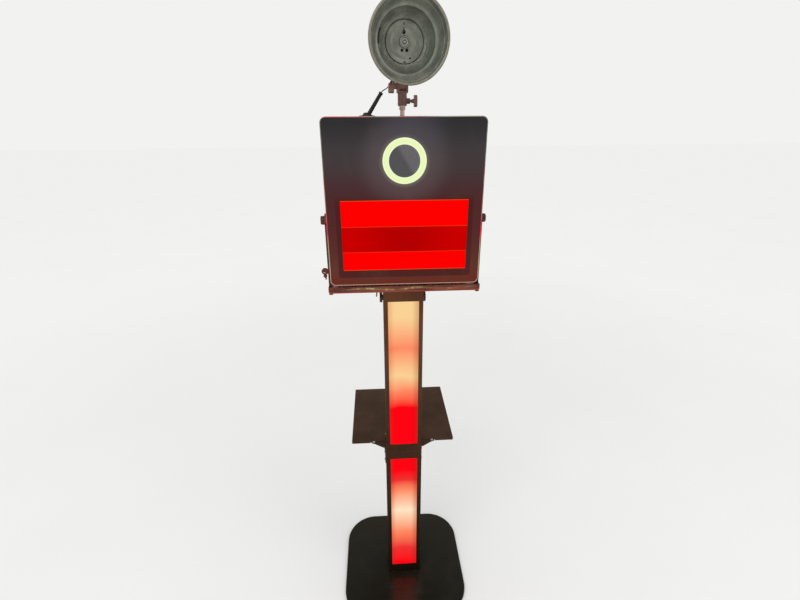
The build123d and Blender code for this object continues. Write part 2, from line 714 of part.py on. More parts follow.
# sheet chassis: a back plate for the display, side flanges, and a shelf for the camera
with BuildPart() as inner_chassis:
    with BuildSketch(front_plane(CHASSIS_Y + CHASSIS_T)):
        with Locations((0, CHASSIS_Z)):
            Rectangle(HEAD_W - 2 * HEAD_WALL, CHASSIS_H)
        with Locations((0, (1560 + CAMERA_FLOOR) / 2)):
            Rectangle(150, CAMERA_FLOOR - 1560)
        with Locations((-120, 1435), (120, 1435)):
            RectangleRounded(80, 150, 6, mode=Mode.SUBTRACT)
    extrude(amount=CHASSIS_T)
    for side in (-1, 1):
        with BuildSketch(side_plane(side * (HEAD_HALF - HEAD_WALL))):
            with Locations((CHASSIS_Y + 13, CHASSIS_Z)):
                Rectangle(26, CHASSIS_H)
            with Locations((PIVOT_Y, PIVOT_Z)):
                Circle(24, mode=Mode.SUBTRACT)
        extrude(amount=-side * CHASSIS_T)
    with BuildSketch(Plane.XY.offset(CAMERA_FLOOR)):
        with Locations((0, (CHASSIS_Y + 22) / 2)):
            Rectangle(150, 22 - CHASSIS_Y)
    extrude(amount=-CHASSIS_T)
save(inner_chassis, "inner_chassis")

with BuildPart() as ring_led_board:
    with BuildSketch(front_plane(PANEL_BACK + 6.6)):
        with Locations((0, RING_Z)):
            Circle(66)
            Circle(37, mode=Mode.SUBTRACT)
    extrude(amount=1.6)
    with BuildSketch(front_plane(PANEL_BACK + 5)):
        with Locations((0, RING_Z)):
            with PolarLocations(49, 24):
                Rectangle(5, 5)
    extrude(amount=1.4)
    with BuildSketch(front_plane(PANEL_BACK + 5)):
        with Locations((0, RING_Z)):
            with PolarLocations(62.5, 4, start_angle=45):
                Circle(2.5)
    extrude(amount=5)
save(ring_led_board, "ring_led_board")

CAMERA_FRONT, CAMERA_BACK = -30.0, 26.0
with BuildPart() as camera_body:
    with BuildSketch(Plane.XY.offset(CAMERA_FLOOR)):
        with Locations((0, (CAMERA_FRONT + CAMERA_BACK) / 2)):
            RectangleRounded(129, CAMERA_BACK - CAMERA_FRONT, 8)
    extrude(amount=74)
    fillet(camera_body.edges().group_by(Axis.Z)[-1], radius=4)
    with BuildSketch(Plane.XY.offset(CAMERA_FLOOR + 74)):
        with Locations((0, -4)):
            RectangleRounded(58, 44, 7)
    extrude(amount=22, taper=14)
    with BuildSketch(front_plane(CAMERA_FRONT)):
        with Locations((0, RING_Z)):
            Circle(30)
    extrude(amount=5)
    with BuildSketch(Plane.XY.offset(CAMERA_FLOOR)):
        with Locations((-52, CAMERA_FRONT)):
            RectangleRounded(24, 32, 9)
    extrude(amount=70)
save(camera_body, "camera_body")

# lens: stepped barrel with a recessed front element
LENS_AXIS = Axis((0, CAMERA_FRONT, RING_Z), (0, -1, 0))
GLASS_R, GLASS_CURVE = 23.0, 61.0


def glass_bulge(radius):
    """How far the domed front element stands out at a distance from its axis."""
    return (GLASS_CURVE**2 - radius**2) ** 0.5 - (GLASS_CURVE**2 - GLASS_R**2) ** 0.5


with BuildPart() as camera_lens:
    with BuildSketch(Plane(origin=(0, CAMERA_FRONT, RING_Z), x_dir=(0, -1, 0), z_dir=(1, 0, 0))):
        with BuildLine():
            Polyline(
                (5, 0), (5, -29), (12, -31), (20, -31), (20, -33), (46, -33), (46, -32), (66, -32), (69, -33.5),
                (74, -33.5), (74, -29.5), (66, -26), (66, -23), close=False,
            )
            ThreePointArc((66, -GLASS_R), (66 + glass_bulge(GLASS_R / 2), -GLASS_R / 2), (66 + glass_bulge(0), 0))
            Line((66 + glass_bulge(0), 0), (5, 0))
        make_face()
    revolve(axis=LENS_AXIS)
save(camera_lens, "camera_lens")

with BuildPart() as mini_pc:
    with BuildSketch(front_plane(CHASSIS_Y + CHASSIS_T)):
        with Locations((0, 1435)):
            RectangleRounded(128, 128, 12)
    extrude(amount=-46)
    fillet(mini_pc.edges().group_by(Axis.Y)[-1], radius=3)
    with BuildSketch(Plane.XY.offset(1371)):
        with Locations((0, -76)):
            with GridLocations(20, 0, 5, 1):
                Rectangle(14, 8)
    extrude(amount=4, mode=Mode.SUBTRACT)
save(mini_pc, "mini_pc")

# ---------------------------------------------------------------- head: rear hood on its hinge
KNUCKLES = 9
HINGE_LOW, HINGE_HIGH = 1322.0, 1714.0
KNUCKLE_H = (HINGE_HIGH - HINGE_LOW) / KNUCKLES
LEAF_T = 0.8
PIN_R = 0.8
HINGE_AXIS = (HINGE_X, HINGE_Y)


def hinge_leaf(direction, first):
    """One leaf with every second knuckle; direction is -1 towards the frame, +1 to the hood."""
    near = HINGE_Y + direction * 2.2
    far = HINGE_Y + direction * 17.0
    with BuildPart() as leaf:
        with BuildSketch(Plane.XY.offset(HINGE_LOW)):
            with Locations((HEAD_HALF + LEAF_T / 2, (near + far) / 2)):
                Rectangle(LEAF_T, abs(far - near))
        extrude(amount=HINGE_HIGH - HINGE_LOW)
        for i in range(first, KNUCKLES, 2):
            with BuildSketch(Plane.XY.offset(HINGE_LOW + i * KNUCKLE_H + GAP / 2)):
                with Locations((HEAD_HALF + LEAF_T / 2, (near + HINGE_Y) / 2)):
                    Rectangle(LEAF_T, abs(near - HINGE_Y))
                with Locations(HINGE_AXIS):
                    Circle(HINGE_R)
                    Circle(PIN_R + 0.06, mode=Mode.SUBTRACT)
            extrude(amount=KNUCKLE_H - GAP)
    return leaf


with BuildPart() as hinge_frame_leaf:
    add(hinge_leaf(-1, 0).part)
    with BuildSketch(Plane.XY.offset(HINGE_LOW)):
        with Locations(HINGE_AXIS):
            Circle(PIN_R)
    extrude(amount=HINGE_HIGH - HINGE_LOW)
    for z in (HINGE_LOW, HINGE_HIGH - 1.5):
        with BuildSketch(Plane.XY.offset(z)):
            with Locations(HINGE_AXIS):
                Circle(HINGE_R)
        extrude(amount=1.5)
save(hinge_frame_leaf, "hinge_frame_leaf")

HOOD_FRONT = SEAM_Y + 0.4
HOOK_Z = LOCK_Z + 20.0
with BuildPart() as rear_hood:
    with BuildSketch(front_plane(HEAD_BACK)):
        add(head_outline(0, HEAD_R))
    extrude(amount=HEAD_BACK - HOOD_FRONT)
    fillet(rear_hood.edges().group_by(Axis.Y)[-1], radius=4)
    with BuildSketch(front_plane(HEAD_BACK - HEAD_WALL)):
        add(head_outline(HEAD_WALL, HEAD_R - HEAD_WALL))
    extrude(amount=HEAD_BACK - HEAD_WALL - HOOD_FRONT, mode=Mode.SUBTRACT)
    with BuildSketch(front_plane(HEAD_BACK)):
        for z in (HEAD_LOW + 90, HEAD_TOP - 110):
            with Locations((0, z)):
                with GridLocations(0, 11, 1, 7):
                    SlotOverall(150, 4)
    extrude(amount=3, mode=Mode.SUBTRACT)
    # keeper that the lock's cam catches
    with BuildSketch(Plane.XY.offset(HOOK_Z)):
        with BuildLine():
            Polyline(
                (-HEAD_HALF + HEAD_WALL, 0), (-HEAD_HALF + HEAD_WALL, -10), (-HEAD_HALF + 3, -16),
                (-HEAD_HALF + 3, LOCK_Y - 10), (-HEAD_HALF + 23, LOCK_Y - 10), (-HEAD_HALF + 23, LOCK_Y - 7),
                (-HEAD_HALF + 5, LOCK_Y - 7), (-HEAD_HALF + 5, 0), close=True,
            )
        make_face()
    extrude(amount=12)
    add(hinge_leaf(1, 1).part)
save(rear_hood, "rear_hood")

# ---------------------------------------------------------------- lock and keys
PLUG_R = 6.0
WALL_X = -HEAD_HALF
KEY_T = 2.2
BOW_X = -234.0
HOLE_X, HOLE_Z = BOW_X - 2, LOCK_Z - 4.5
LOCK_DEPTH = 20.0

with BuildPart() as lock_barrel:
    with BuildSketch(side_plane(WALL_X)):
        with Locations((LOCK_Y, LOCK_Z)):
            Circle(10)
    extrude(amount=-2.5)
    with BuildSketch(side_plane(WALL_X)):
        with Locations((LOCK_Y, LOCK_Z)):
            Circle(8)
    extrude(amount=LOCK_DEPTH - 3)
    with BuildSketch(side_plane(WALL_X + 3.2)):
        with Locations((LOCK_Y, LOCK_Z)):
            Circle(10)
    extrude(amount=4)
    with BuildSketch(side_plane(WALL_X - 2.5)):
        with Locations((LOCK_Y, LOCK_Z)):
            Circle(PLUG_R + 0.06)
    extrude(amount=LOCK_DEPTH, mode=Mode.SUBTRACT)
save(lock_barrel, "lock_barrel")

with BuildPart() as lock_cam:
    with BuildSketch(side_plane(WALL_X - 2.2)):
        with Locations((LOCK_Y, LOCK_Z)):
            Circle(PLUG_R)
            Rectangle(KEY_T + 0.2, 8.4, mode=Mode.SUBTRACT)
    extrude(amount=LOCK_DEPTH - 3 + 2.2 + 0.3)
    with BuildSketch(side_plane(WALL_X + LOCK_DEPTH - 3 + 0.3)):
        with Locations((LOCK_Y, LOCK_Z)):
            Circle(7)
        with Locations((LOCK_Y + 13, LOCK_Z)):
            SlotOverall(36, 9)
    extrude(amount=2.5)
save(lock_cam, "lock_cam")

with BuildPart() as key:
    with BuildSketch(Plane(origin=(0, LOCK_Y - KEY_T / 2, 0), x_dir=(1, 0, 0), z_dir=(0, -1, 0))):
        with Locations((BOW_X, LOCK_Z)):
            Circle(10.5)
        with Locations(((BOW_X + WALL_X + 12) / 2, LOCK_Z)):
            Rectangle(WALL_X + 12 - BOW_X, 7.6)
        with Locations((HOLE_X, HOLE_Z)):
            Circle(2.6, mode=Mode.SUBTRACT)
    extrude(amount=-KEY_T)
save(key, "key")

# spare key on a split ring through the first key's bow; it hangs close behind that bow
RING_R = 5.0
with BuildPart() as spare_key:
    with BuildSketch(Plane(origin=(HOLE_X, LOCK_Y, HOLE_Z - RING_R + 1.6), x_dir=(0, 1, 0), z_dir=(1, 0, 0))):
        Circle(RING_R + 0.7)
        Circle(RING_R - 0.7, mode=Mode.SUBTRACT)
    extrude(amount=0.7, both=True)
    with BuildSketch(Plane(origin=(0, LOCK_Y + 2, 0), x_dir=(1, 0, 0), z_dir=(0, -1, 0))):
        with Locations((BOW_X - 0.5, LOCK_Z - 15.5)):
            Ellipse(5.8, 5.6)
        with Locations((BOW_X + 1, LOCK_Z - 23)):
            Rectangle(4.4, 7)
    extrude(amount=-1.8)
save(spare_key, "spare_key")

# ---------------------------------------------------------------- stud and cable gland on the head's top
SOCKET_LOW = 1766.0
SPIGOT_R = 7.9
with BuildPart() as flash_stud:
    with BuildSketch(Plane(origin=(STUD_X, STUD_Y, 0), x_dir=(1, 0, 0), z_dir=(0, -1, 0))):
        with BuildLine():
            Polyline(
                (0, HEAD_TOP - 12), (14, HEAD_TOP - 12), (14, HEAD_TOP - HEAD_WALL), (5.9, HEAD_TOP - HEAD_WALL),
                (5.9, 1756), (8.4, 1757), (8.4, 1760), (7.4, 1761), (7.4, 1762), (8.8, 1763), (8.8, SOCKET_LOW - GAP),
                (SPIGOT_R, SOCKET_LOW - GAP), (SPIGOT_R, 1792), (SPIGOT_R - 1.5, 1794), (0, 1794), close=True,
            )
        make_face()
    revolve(axis=Axis((STUD_X, STUD_Y, 0), (0, 0, 1)))
save(flash_stud, "flash_stud")

GLAND_X = -94.0
BOOT_LOW = Vector(-91.5, STUD_Y, 1743)
BOOT_TOP = Vector(-55, STUD_Y, 1798)
BOOT_DIR = (BOOT_TOP - BOOT_LOW).normalized()
BOOT_LEN = (BOOT_TOP - BOOT_LOW).length

with BuildPart() as cable_gland:
    with BuildSketch(Plane(origin=(GLAND_X, STUD_Y, 0), x_dir=(1, 0, 0), z_dir=(0, -1, 0))):
        with BuildLine():
            Polyline(
                (0, HEAD_TOP - 8), (7.8, HEAD_TOP - 8), (7.8, HEAD_TOP), (22.5, HEAD_TOP), (22.5, HEAD_TOP + 2.5),
                (20, HEAD_TOP + 4.5), (12, HEAD_TOP + 6), (9, HEAD_TOP + 10), (0, HEAD_TOP + 10.5), close=True,
            )
        make_face()
    revolve(axis=Axis((GLAND_X, STUD_Y, 0), (0, 0, 1)))
    with BuildSketch(Plane(origin=BOOT_LOW, z_dir=BOOT_DIR)):
        Circle(5.4)
    extrude(amount=BOOT_LEN - 5, taper=1.0)
    with BuildSketch(Plane(origin=BOOT_TOP - 5 * BOOT_DIR, z_dir=BOOT_DIR)):
        Circle(5.6)
    extrude(amount=5)
save(cable_gland, "cable_gland")

# ---------------------------------------------------------------- flash bracket (pans on the stud)
# pan frame: local x to the right of the flash, local y to its rear, local z up
PAN = Plane(
    origin=(STUD_X, STUD_Y, TILT_Z),
    x_dir=(cos(radians(FLASH_PAN)), sin(radians(FLASH_PAN)), 0),
    z_dir=(0, 0, 1),
)
TUBE_R = 12.0
EAR_IN, EAR_OUT, EAR_R = 8.0, 14.0, 11.0
TILT_PIN_R = 4.0
BOSS_Z = 1777.5
SOCKET_H = TILT_Z - 14 - SOCKET_LOW


def pan_side(offset):
    """Plane across the flash's tilt axis: local x to the rear, local y up, normal to the right."""
    return Plane(origin=PAN.from_local_coords((offset, 0, 0)), x_dir=PAN.y_dir, z_dir=PAN.x_dir)


CLIP_AT = PAN.from_local_coords((-26, 15, 12))
CLIP_DIR = Vector(0.45, 0.45, 0.77).normalized()
CLIP_HALF = 4.0

with BuildPart() as flash_bracket:
    with BuildSketch(PAN.offset(SOCKET_LOW - TILT_Z)):
        Circle(TUBE_R)
    extrude(amount=SOCKET_H)
    with BuildSketch(PAN.offset(-16)):
        RectangleRounded(2 * EAR_OUT, 2 * EAR_R, 4)
    extrude(amount=5.2)
    for near in (-EAR_OUT, EAR_IN):
        with BuildSketch(pan_side(near)):
            Circle(EAR_R)
            with Locations((0, -7)):
                Rectangle(2 * EAR_R, 14)
        extrude(amount=EAR_OUT - EAR_IN)
    with BuildSketch(pan_side(9)):
        with Locations((0, BOSS_Z - TILT_Z)):
            Circle(7)
    extrude(amount=11)
    # arm and bead that hold the flash lead
    with BuildLine():
        arm_path = Line(PAN.from_local_coords((-EAR_OUT + 1, 8, 5)), CLIP_AT)
    with BuildSketch(Plane(origin=arm_path @ 0, z_dir=arm_path % 0)):
        Circle(1.5)
    sweep(path=arm_path)
    with BuildSketch(Plane(origin=CLIP_AT - CLIP_HALF * CLIP_DIR, z_dir=CLIP_DIR)):
        Circle(3)
    extrude(amount=2 * CLIP_HALF)
    with BuildSketch(PAN.offset(SOCKET_LOW - TILT_Z)):
        Circle(SPIGOT_R + 0.08)
    extrude(amount=1795 - SOCKET_LOW, mode=Mode.SUBTRACT)
    with BuildSketch(pan_side(-EAR_OUT - 1)):
        Circle(TILT_PIN_R + 0.06)
    extrude(amount=2 * EAR_OUT + 2, mode=Mode.SUBTRACT)
    with BuildSketch(pan_side(SPIGOT_R - 1)):
        with Locations((0, BOSS_Z - TILT_Z)):
            Circle(TILT_PIN_R + 0.06)
    extrude(amount=20, mode=Mode.SUBTRACT)
save(flash_bracket, "flash_bracket")

# T-shaped clamp knob on the socket's boss
with BuildPart() as bracket_knob:
    with BuildSketch(pan_side(SPIGOT_R + GAP + 0.1)):
        with Locations((0, BOSS_Z - TILT_Z)):
            Circle(TILT_PIN_R)
    extrude(amount=20.6 - SPIGOT_R)
    with BuildSketch(pan_side(20.4)):
        with Locations((0, BOSS_Z - TILT_Z)):
            Circle(3.2)
    extrude(amount=3)
    with BuildSketch(pan_side(22.5)):
        with Locations((0, BOSS_Z - TILT_Z)):
            Circle(3.6)
    extrude(amount=9, taper=-15)
    with BuildSketch(pan_side(31)):
        with Locations((0, BOSS_Z - TILT_Z)):
            SlotOverall(29, 10, rotation=90)
    extrude(amount=9)
    fillet(bracket_knob.faces().sort_by(Axis.X)[-1].edges(), radius=2.5)
save(bracket_knob, "bracket_knob")

# clamp lever on the tilt axis, with its bolt through both ears
LEVER_IN = EAR_OUT + GAP
with BuildPart() as tilt_lever:
    with BuildSketch(pan_side(EAR_OUT - 0.5)):
        Circle(TILT_PIN_R)
    extrude(amount=-(2 * EAR_OUT - 1.5))
    with BuildSketch(pan_side(-LEVER_IN)):
        Circle(7)
    extrude(amount=-8)
    with BuildSketch(pan_side(-LEVER_IN)):
        Circle(TILT_PIN_R)
    extrude(amount=4)
    with BuildSketch(pan_side(-LEVER_IN - 7.7)):
        with Locations((0, -4.5)):
            SlotOverall(24, 13, rotation=90)
    extrude(amount=-14.5)
    fillet(tilt_lever.faces().sort_by(Axis.X)[0].edges(), radius=2.5)
save(tilt_lever, "tilt_lever")

# ---------------------------------------------------------------- flash head (tilts on the bracket)
# flash frame: the pan frame tipped forward; its light leaves along local -y at height FLASH_UP
TIP = Plane(
    origin=PAN.origin,
    x_dir=PAN.x_dir,
    z_dir=cos(radians(FLASH_TILT)) * PAN.z_dir - sin(radians(FLASH_TILT)) * PAN.y_dir,
)
BODY_R = 50.0
BODY_BACK = 84.0
FORWARD = -TIP.y_dir


def flash_point(right, forward, up):
    return TIP.from_local_coords((right, -forward, up))


AXIS_START = flash_point(0, 0, FLASH_UP)
FLASH_AXIS = Axis(AXIS_START, FORWARD)
# revolve plane: local x forward along the axis, local y outward from it
PROFILE = Plane(origin=AXIS_START, x_dir=FORWARD, z_dir=-TIP.x_dir)


def across(forward):
    """Plane square to the light's axis: local x to the right, local y up, normal forward."""
    return Plane(origin=flash_point(0, forward, FLASH_UP), x_dir=TIP.x_dir, z_dir=FORWARD)


def flash_side(offset):
    return Plane(origin=flash_point(offset, 0, 0), x_dir=TIP.y_dir, z_dir=TIP.x_dir)


with BuildPart() as flash_housing:
    with BuildSketch(PROFILE):
        with BuildLine():
            Polyline(
                (24, 0), (24, 54), (14, 54), (12, BODY_R), (-BODY_BACK + 6, BODY_R), (-BODY_BACK, BODY_R - 6),
                (-BODY_BACK, 0), close=True,
            )
        make_face()
    revolve(axis=FLASH_AXIS)
    # lug between the bracket's ears
    with BuildSketch(flash_side(-EAR_IN + GAP)):
        Circle(EAR_R - 0.5)
        with Locations((0, 25)):
            Rectangle(2 * EAR_R - 1, 50)
    extrude(amount=2 * (EAR_IN - GAP))
    with BuildSketch(flash_side(-EAR_IN)):
        Circle(TILT_PIN_R + 0.06)
    extrude(amount=2 * EAR_IN, mode=Mode.SUBTRACT)
    # socket for the lead, under the body
    with BuildSketch(TIP.offset(42)):
        with Locations((-18, 34)):
            Circle(5.5)
    extrude(amount=14)
    # recess for the control panel and cooling slots at the rear
    with BuildSketch(across(-BODY_BACK)):
        Circle(38)
    extrude(amount=3, mode=Mode.SUBTRACT)
    with BuildSketch(across(-BODY_BACK + 3)):
        with Locations((0, -20)):
            with GridLocations(0, 6, 1, 3):
                SlotOverall(40, 3)
    extrude(amount=4, mode=Mode.SUBTRACT)
    with BuildSketch(across(-BODY_BACK + 3)):
        with Locations((0, 12)):
            Circle(5)
    extrude(amount=8, mode=Mode.SUBTRACT)
    for turn in (60, 90, 120, 240, 300):
        with BuildSketch(across(0)):
            with PolarLocations(BODY_R, 1, start_angle=turn):
                SlotOverall(12, 3, rotation=90)
        extrude(amount=-50, mode=Mode.SUBTRACT)
save(flash_housing, "flash_housing")

with BuildPart() as flash_dial:
    with BuildSketch(across(-BODY_BACK + 2.7)):
        with Locations((0, 12)):
            Circle(12)
            with PolarLocations(13.2, 12):
                Circle(2, mode=Mode.SUBTRACT)
    extrude(amount=-13)
    with BuildSketch(across(-BODY_BACK + 2.7)):
        with Locations((0, 12)):
            Circle(4.9)
    extrude(amount=6)
save(flash_dial, "flash_dial")

with BuildPart() as reflector:
    with BuildSketch(PROFILE):
        with BuildLine():
            Line((24, 47), (30, 47))
            ThreePointArc((30, 47), (58, 76), (99, 91))
            ThreePointArc((99, 91), (101.5, 93.5), (99, 95.5))
            Line((99, 95.5), (97, 93.2))
            ThreePointArc((97, 93.2), (56, 77.8), (28, 50))
            Line((28, 50), (24, 50))
            Line((24, 50), (24, 47))
        make_face()
    revolve(axis=FLASH_AXIS)
save(reflector, "reflector")

# face disc with the flash tube's ring groove
with BuildPart() as flash_face:
    with BuildSketch(across(24)):
        Circle(FACE_R)
    extrude(amount=5)
    with BuildSketch(across(29)):
        Circle(36)
        Circle(29, mode=Mode.SUBTRACT)
    extrude(amount=-3, mode=Mode.SUBTRACT)
    with BuildSketch(across(29)):
        Circle(14)
    extrude(amount=-3, mode=Mode.SUBTRACT)
save(flash_face, "flash_face")

with BuildPart() as flash_tube:
    with BuildLine(across(29.5)):
        ring_path = CenterArc((0, 0), 32.5, 100, 340)
    with BuildSketch(Plane(origin=ring_path @ 0, z_dir=ring_path % 0)):
        Circle(3.2)
    sweep(path=ring_path)
save(flash_tube, "flash_tube")

with BuildPart() as modelling_lamp:
    with BuildSketch(across(26)):
        Circle(13.6)
    extrude(amount=2)
    with BuildSketch(across(28)):
        Circle(11)
    extrude(amount=6, taper=25)
save(modelling_lamp, "modelling_lamp")


# ---------------------------------------------------------------- flash lead
def lead_tube(points):
    """Round lead along straight runs joined by arcs as large as the runs allow."""
    corners = [Vector(*p) for p in points]
    radii = []
    for before, at, after in zip(corners, corners[1:], corners[2:]):
        run_in, run_out = at - before, after - at
        half_turn = radians(run_in.get_angle(run_out)) / 2
        radii.append(0.45 * min(run_in.length, run_out.length) / tan(half_turn))
    with BuildPart() as tube:
        with BuildLine():
            path = FilletPolyline(*corners, radius=radii)
        with BuildSketch(Plane(origin=corners[0], z_dir=corners[1] - corners[0])):
            Circle(LEAD_D / 2)
        sweep(path=path)
    return tube


LEAD_START = BOOT_TOP
CLIP_NEAR = CLIP_AT - (CLIP_HALF + 0.05) * CLIP_DIR
CLIP_FAR = CLIP_AT + CLIP_HALF * CLIP_DIR
LEAD_SOCKET = TIP.from_local_coords((-18, 34, 42 - GAP))

lead_lower = lead_tube([
    LEAD_START, LEAD_START + 5 * BOOT_DIR, (-42, -36, 1806.5), CLIP_NEAR - 7 * CLIP_DIR, CLIP_NEAR,
])
save(lead_lower, "lead_lower")
lead_upper = lead_tube([
    CLIP_FAR, CLIP_FAR + 7 * CLIP_DIR, LEAD_SOCKET + Vector(2, -8, -15), LEAD_SOCKET - 8 * TIP.z_dir, LEAD_SOCKET,
])
save(lead_upper, "lead_upper")
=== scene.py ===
"""Photo booth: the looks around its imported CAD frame. All places are in the row frame, in metres."""
import json
import math

import bmesh
import bpy
from mathutils import Matrix, Vector, noise


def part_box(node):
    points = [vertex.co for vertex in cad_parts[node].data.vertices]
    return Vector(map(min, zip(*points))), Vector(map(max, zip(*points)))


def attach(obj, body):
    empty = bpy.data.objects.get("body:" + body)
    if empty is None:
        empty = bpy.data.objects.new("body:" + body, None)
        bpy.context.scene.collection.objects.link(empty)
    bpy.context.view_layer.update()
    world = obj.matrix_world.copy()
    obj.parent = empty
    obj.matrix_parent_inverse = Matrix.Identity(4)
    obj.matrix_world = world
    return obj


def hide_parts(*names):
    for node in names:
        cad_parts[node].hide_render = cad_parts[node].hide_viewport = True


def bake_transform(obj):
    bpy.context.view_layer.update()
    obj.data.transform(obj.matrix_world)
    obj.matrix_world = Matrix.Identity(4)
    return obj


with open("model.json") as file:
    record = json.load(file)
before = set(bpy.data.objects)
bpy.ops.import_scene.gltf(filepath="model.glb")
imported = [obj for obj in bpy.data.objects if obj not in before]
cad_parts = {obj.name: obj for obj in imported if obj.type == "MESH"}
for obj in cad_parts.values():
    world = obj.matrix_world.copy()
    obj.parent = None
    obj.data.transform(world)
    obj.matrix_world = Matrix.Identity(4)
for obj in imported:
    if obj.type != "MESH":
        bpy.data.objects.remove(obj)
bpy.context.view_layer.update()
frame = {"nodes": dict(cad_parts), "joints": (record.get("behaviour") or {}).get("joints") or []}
nodes = frame["nodes"]
MM = 0.001


# ---------------------------------------------------------------- camera
def aim_camera(place, yaw, pitch, roll, lens):
    """A camera at place that looks along +Y, turned by yaw to +X, tipped down by pitch and rolled."""
    forward = Vector((math.sin(yaw) * math.cos(pitch), math.cos(yaw) * math.cos(pitch), -math.sin(pitch)))
    right = Vector((math.cos(yaw), -math.sin(yaw), 0))
    down = forward.cross(right)
    turned_right = math.cos(roll) * right + math.sin(roll) * down
    turned_down = math.cos(roll) * down - math.sin(roll) * right
    data = bpy.data.cameras.new("camera")
    data.sensor_width = 36
    data.lens = lens
    camera = bpy.data.objects.new("camera", data)
    turn = Matrix((turned_right, -turned_down, -forward)).transposed().to_4x4()
    camera.matrix_world = Matrix.Translation(place) @ turn
    bpy.context.scene.collection.objects.link(camera)
    bpy.context.scene.camera = camera


CAMERA_PLACE = (-0.0775, -1.2702, 1.7166)
CAMERA_LENS = 19.28
aim_camera(CAMERA_PLACE, math.radians(3.13), math.radians(22.08), math.radians(0.36), CAMERA_LENS)


# ---------------------------------------------------------------- colour and shader patterns
def tint(red, green, blue):
    """A screen colour of 0 to 255 as the linear colour that a shader takes."""
    def linear(value):
        share = value / 255
        return share / 12.92 if share <= 0.04045 else ((share + 0.055) / 1.055) ** 2.4
    return (linear(red), linear(green), linear(blue), 1)


class Finish:
    """A Principled material, with the few patterns that this scene's surfaces are made of."""

    def __init__(self, name, **values):
        self.material = bpy.data.materials.new(name)
        self.material.use_nodes = True
        self.nodes = self.material.node_tree.nodes
        self.shader = self.nodes["Principled BSDF"]
        self.place = self.new("ShaderNodeTexCoord").outputs["Object"]
        parts = self.new("ShaderNodeSeparateXYZ")
        self.feed(parts.inputs[0], self.place)
        self.x, self.y, self.z = parts.outputs
        self.set(**values)

    def new(self, kind, **options):
        node = self.nodes.new(kind)
        for key, value in options.items():
            setattr(node, key, value)
        return node

    def feed(self, socket, value):
        """Links an output to a socket, or sets the socket to a number or colour."""
        if isinstance(value, bpy.types.NodeSocket):
            self.material.node_tree.links.new(value, socket)
        else:
            socket.default_value = value

    def set(self, **values):
        """Feeds the shader's sockets: base_color=..., roughness=... and so on."""
        for key, value in values.items():
            self.feed(self.shader.inputs[key.replace("_", " ").title().replace("Ior", "IOR")], value)

    def math(self, operation, first, second=0.0, third=0.0):
        node = self.new("ShaderNodeMath", operation=operation)
        for socket, value in zip(node.inputs, (first, second, third)):
            self.feed(socket, value)
        return node.outputs[0]

    def span(self, value, low, high, out_low=0.0, out_high=1.0):
        """value's run from low to high, eased and clamped, as a run from out_low to out_high."""
        node = self.new("ShaderNodeMapRange", interpolation_type="SMOOTHSTEP")
        for socket, number in zip(node.inputs, (value, low, high, out_low, out_high)):
            self.feed(socket, number)
        return node.outputs[0]

    def ramp(self, value, stops, low=0.0, high=1.0):
        """Colours along value; the stops' places run from low to high."""
        share = self.math("DIVIDE", self.math("SUBTRACT", value, low), high - low)
        node = self.new("ShaderNodeValToRGB")
        self.feed(node.inputs[0], share)
        elements = node.color_ramp.elements
        while len(elements) < len(stops):
            elements.new(0.5)
        for element, (at, colour) in zip(elements, sorted(stops, key=lambda stop: stop[0])):
            element.position = (at - low) / (high - low)
            element.color = colour
        return node.outputs[0]

    def mix(self, share, first, second, blend="MIX"):
        node = self.new("ShaderNodeMix", data_type="RGBA", blend_type=blend)
        self.feed(node.inputs[0], share)
        self.feed(node.inputs[6], first)
        self.feed(node.inputs[7], second)
        return node.outputs[2]

    def stretched(self, scale):
        """Object coordinates scaled by three numbers, for grain that runs one way."""
        node = self.new("ShaderNodeMapping")
        self.feed(node.inputs["Vector"], self.place)
        node.inputs["Scale"].default_value = scale
        return node.outputs[0]

    def noise(self, scale, detail, vector=None):
        node = self.new("ShaderNodeTexNoise")
        self.feed(node.inputs["Vector"], vector or self.place)
        node.inputs["Scale"].default_value = scale
        node.inputs["Detail"].default_value = detail
        node.inputs["Roughness"].default_value = 0.55
        return node.outputs[0]

    def cells(self, scale):
        """Distance to the nearest of many scattered points."""
        node = self.new("ShaderNodeTexVoronoi", feature="F1")
        self.feed(node.inputs["Vector"], self.place)
        node.inputs["Scale"].default_value = scale
        return node.outputs["Distance"]

    def bump(self, height, distance, strength=1.0):
        node = self.new("ShaderNodeBump")
        node.inputs["Strength"].default_value = strength
        node.inputs["Distance"].default_value = distance
        self.feed(node.inputs["Height"], height)
        previous = self.shader.inputs["Normal"].links
        if previous:
            self.feed(node.inputs["Normal"], previous[0].from_socket)
        self.feed(self.shader.inputs["Normal"], node.outputs[0])

    def edges(self, radius):
        """1 along the piece's hard edges, 0 on its flats."""
        bevel = self.new("ShaderNodeBevel", samples=4)
        bevel.inputs["Radius"].default_value = radius
        normal = self.new("ShaderNodeNewGeometry").outputs["Normal"]
        dot = self.new("ShaderNodeVectorMath", operation="DOT_PRODUCT")
        self.feed(dot.inputs[0], bevel.outputs[0])
        self.feed(dot.inputs[1], normal)
        return self.span(self.math("SUBTRACT", 1.0, dot.outputs["Value"]), 0.02, 0.25)

    def ring(self, centre_x, centre_z):
        """Distance from an axis that runs along Y."""
        side = self.math("SUBTRACT", self.x, centre_x)
        up = self.math("SUBTRACT", self.z, centre_z)
        squares = self.math("ADD", self.math("MULTIPLY", side, side), self.math("MULTIPLY", up, up))
        return self.math("SQRT", squares)

    def outside(self, centre_z, half_x, half_z, blur):
        """0 inside a box on the front, 1 outside it."""
        side = self.math("SUBTRACT", self.math("ABSOLUTE", self.x), half_x)
        up = self.math("SUBTRACT", self.math("ABSOLUTE", self.math("SUBTRACT", self.z, centre_z)), half_z)
        return self.span(self.math("SMOOTH_MAX", side, up, 0.016), -blur, blur)


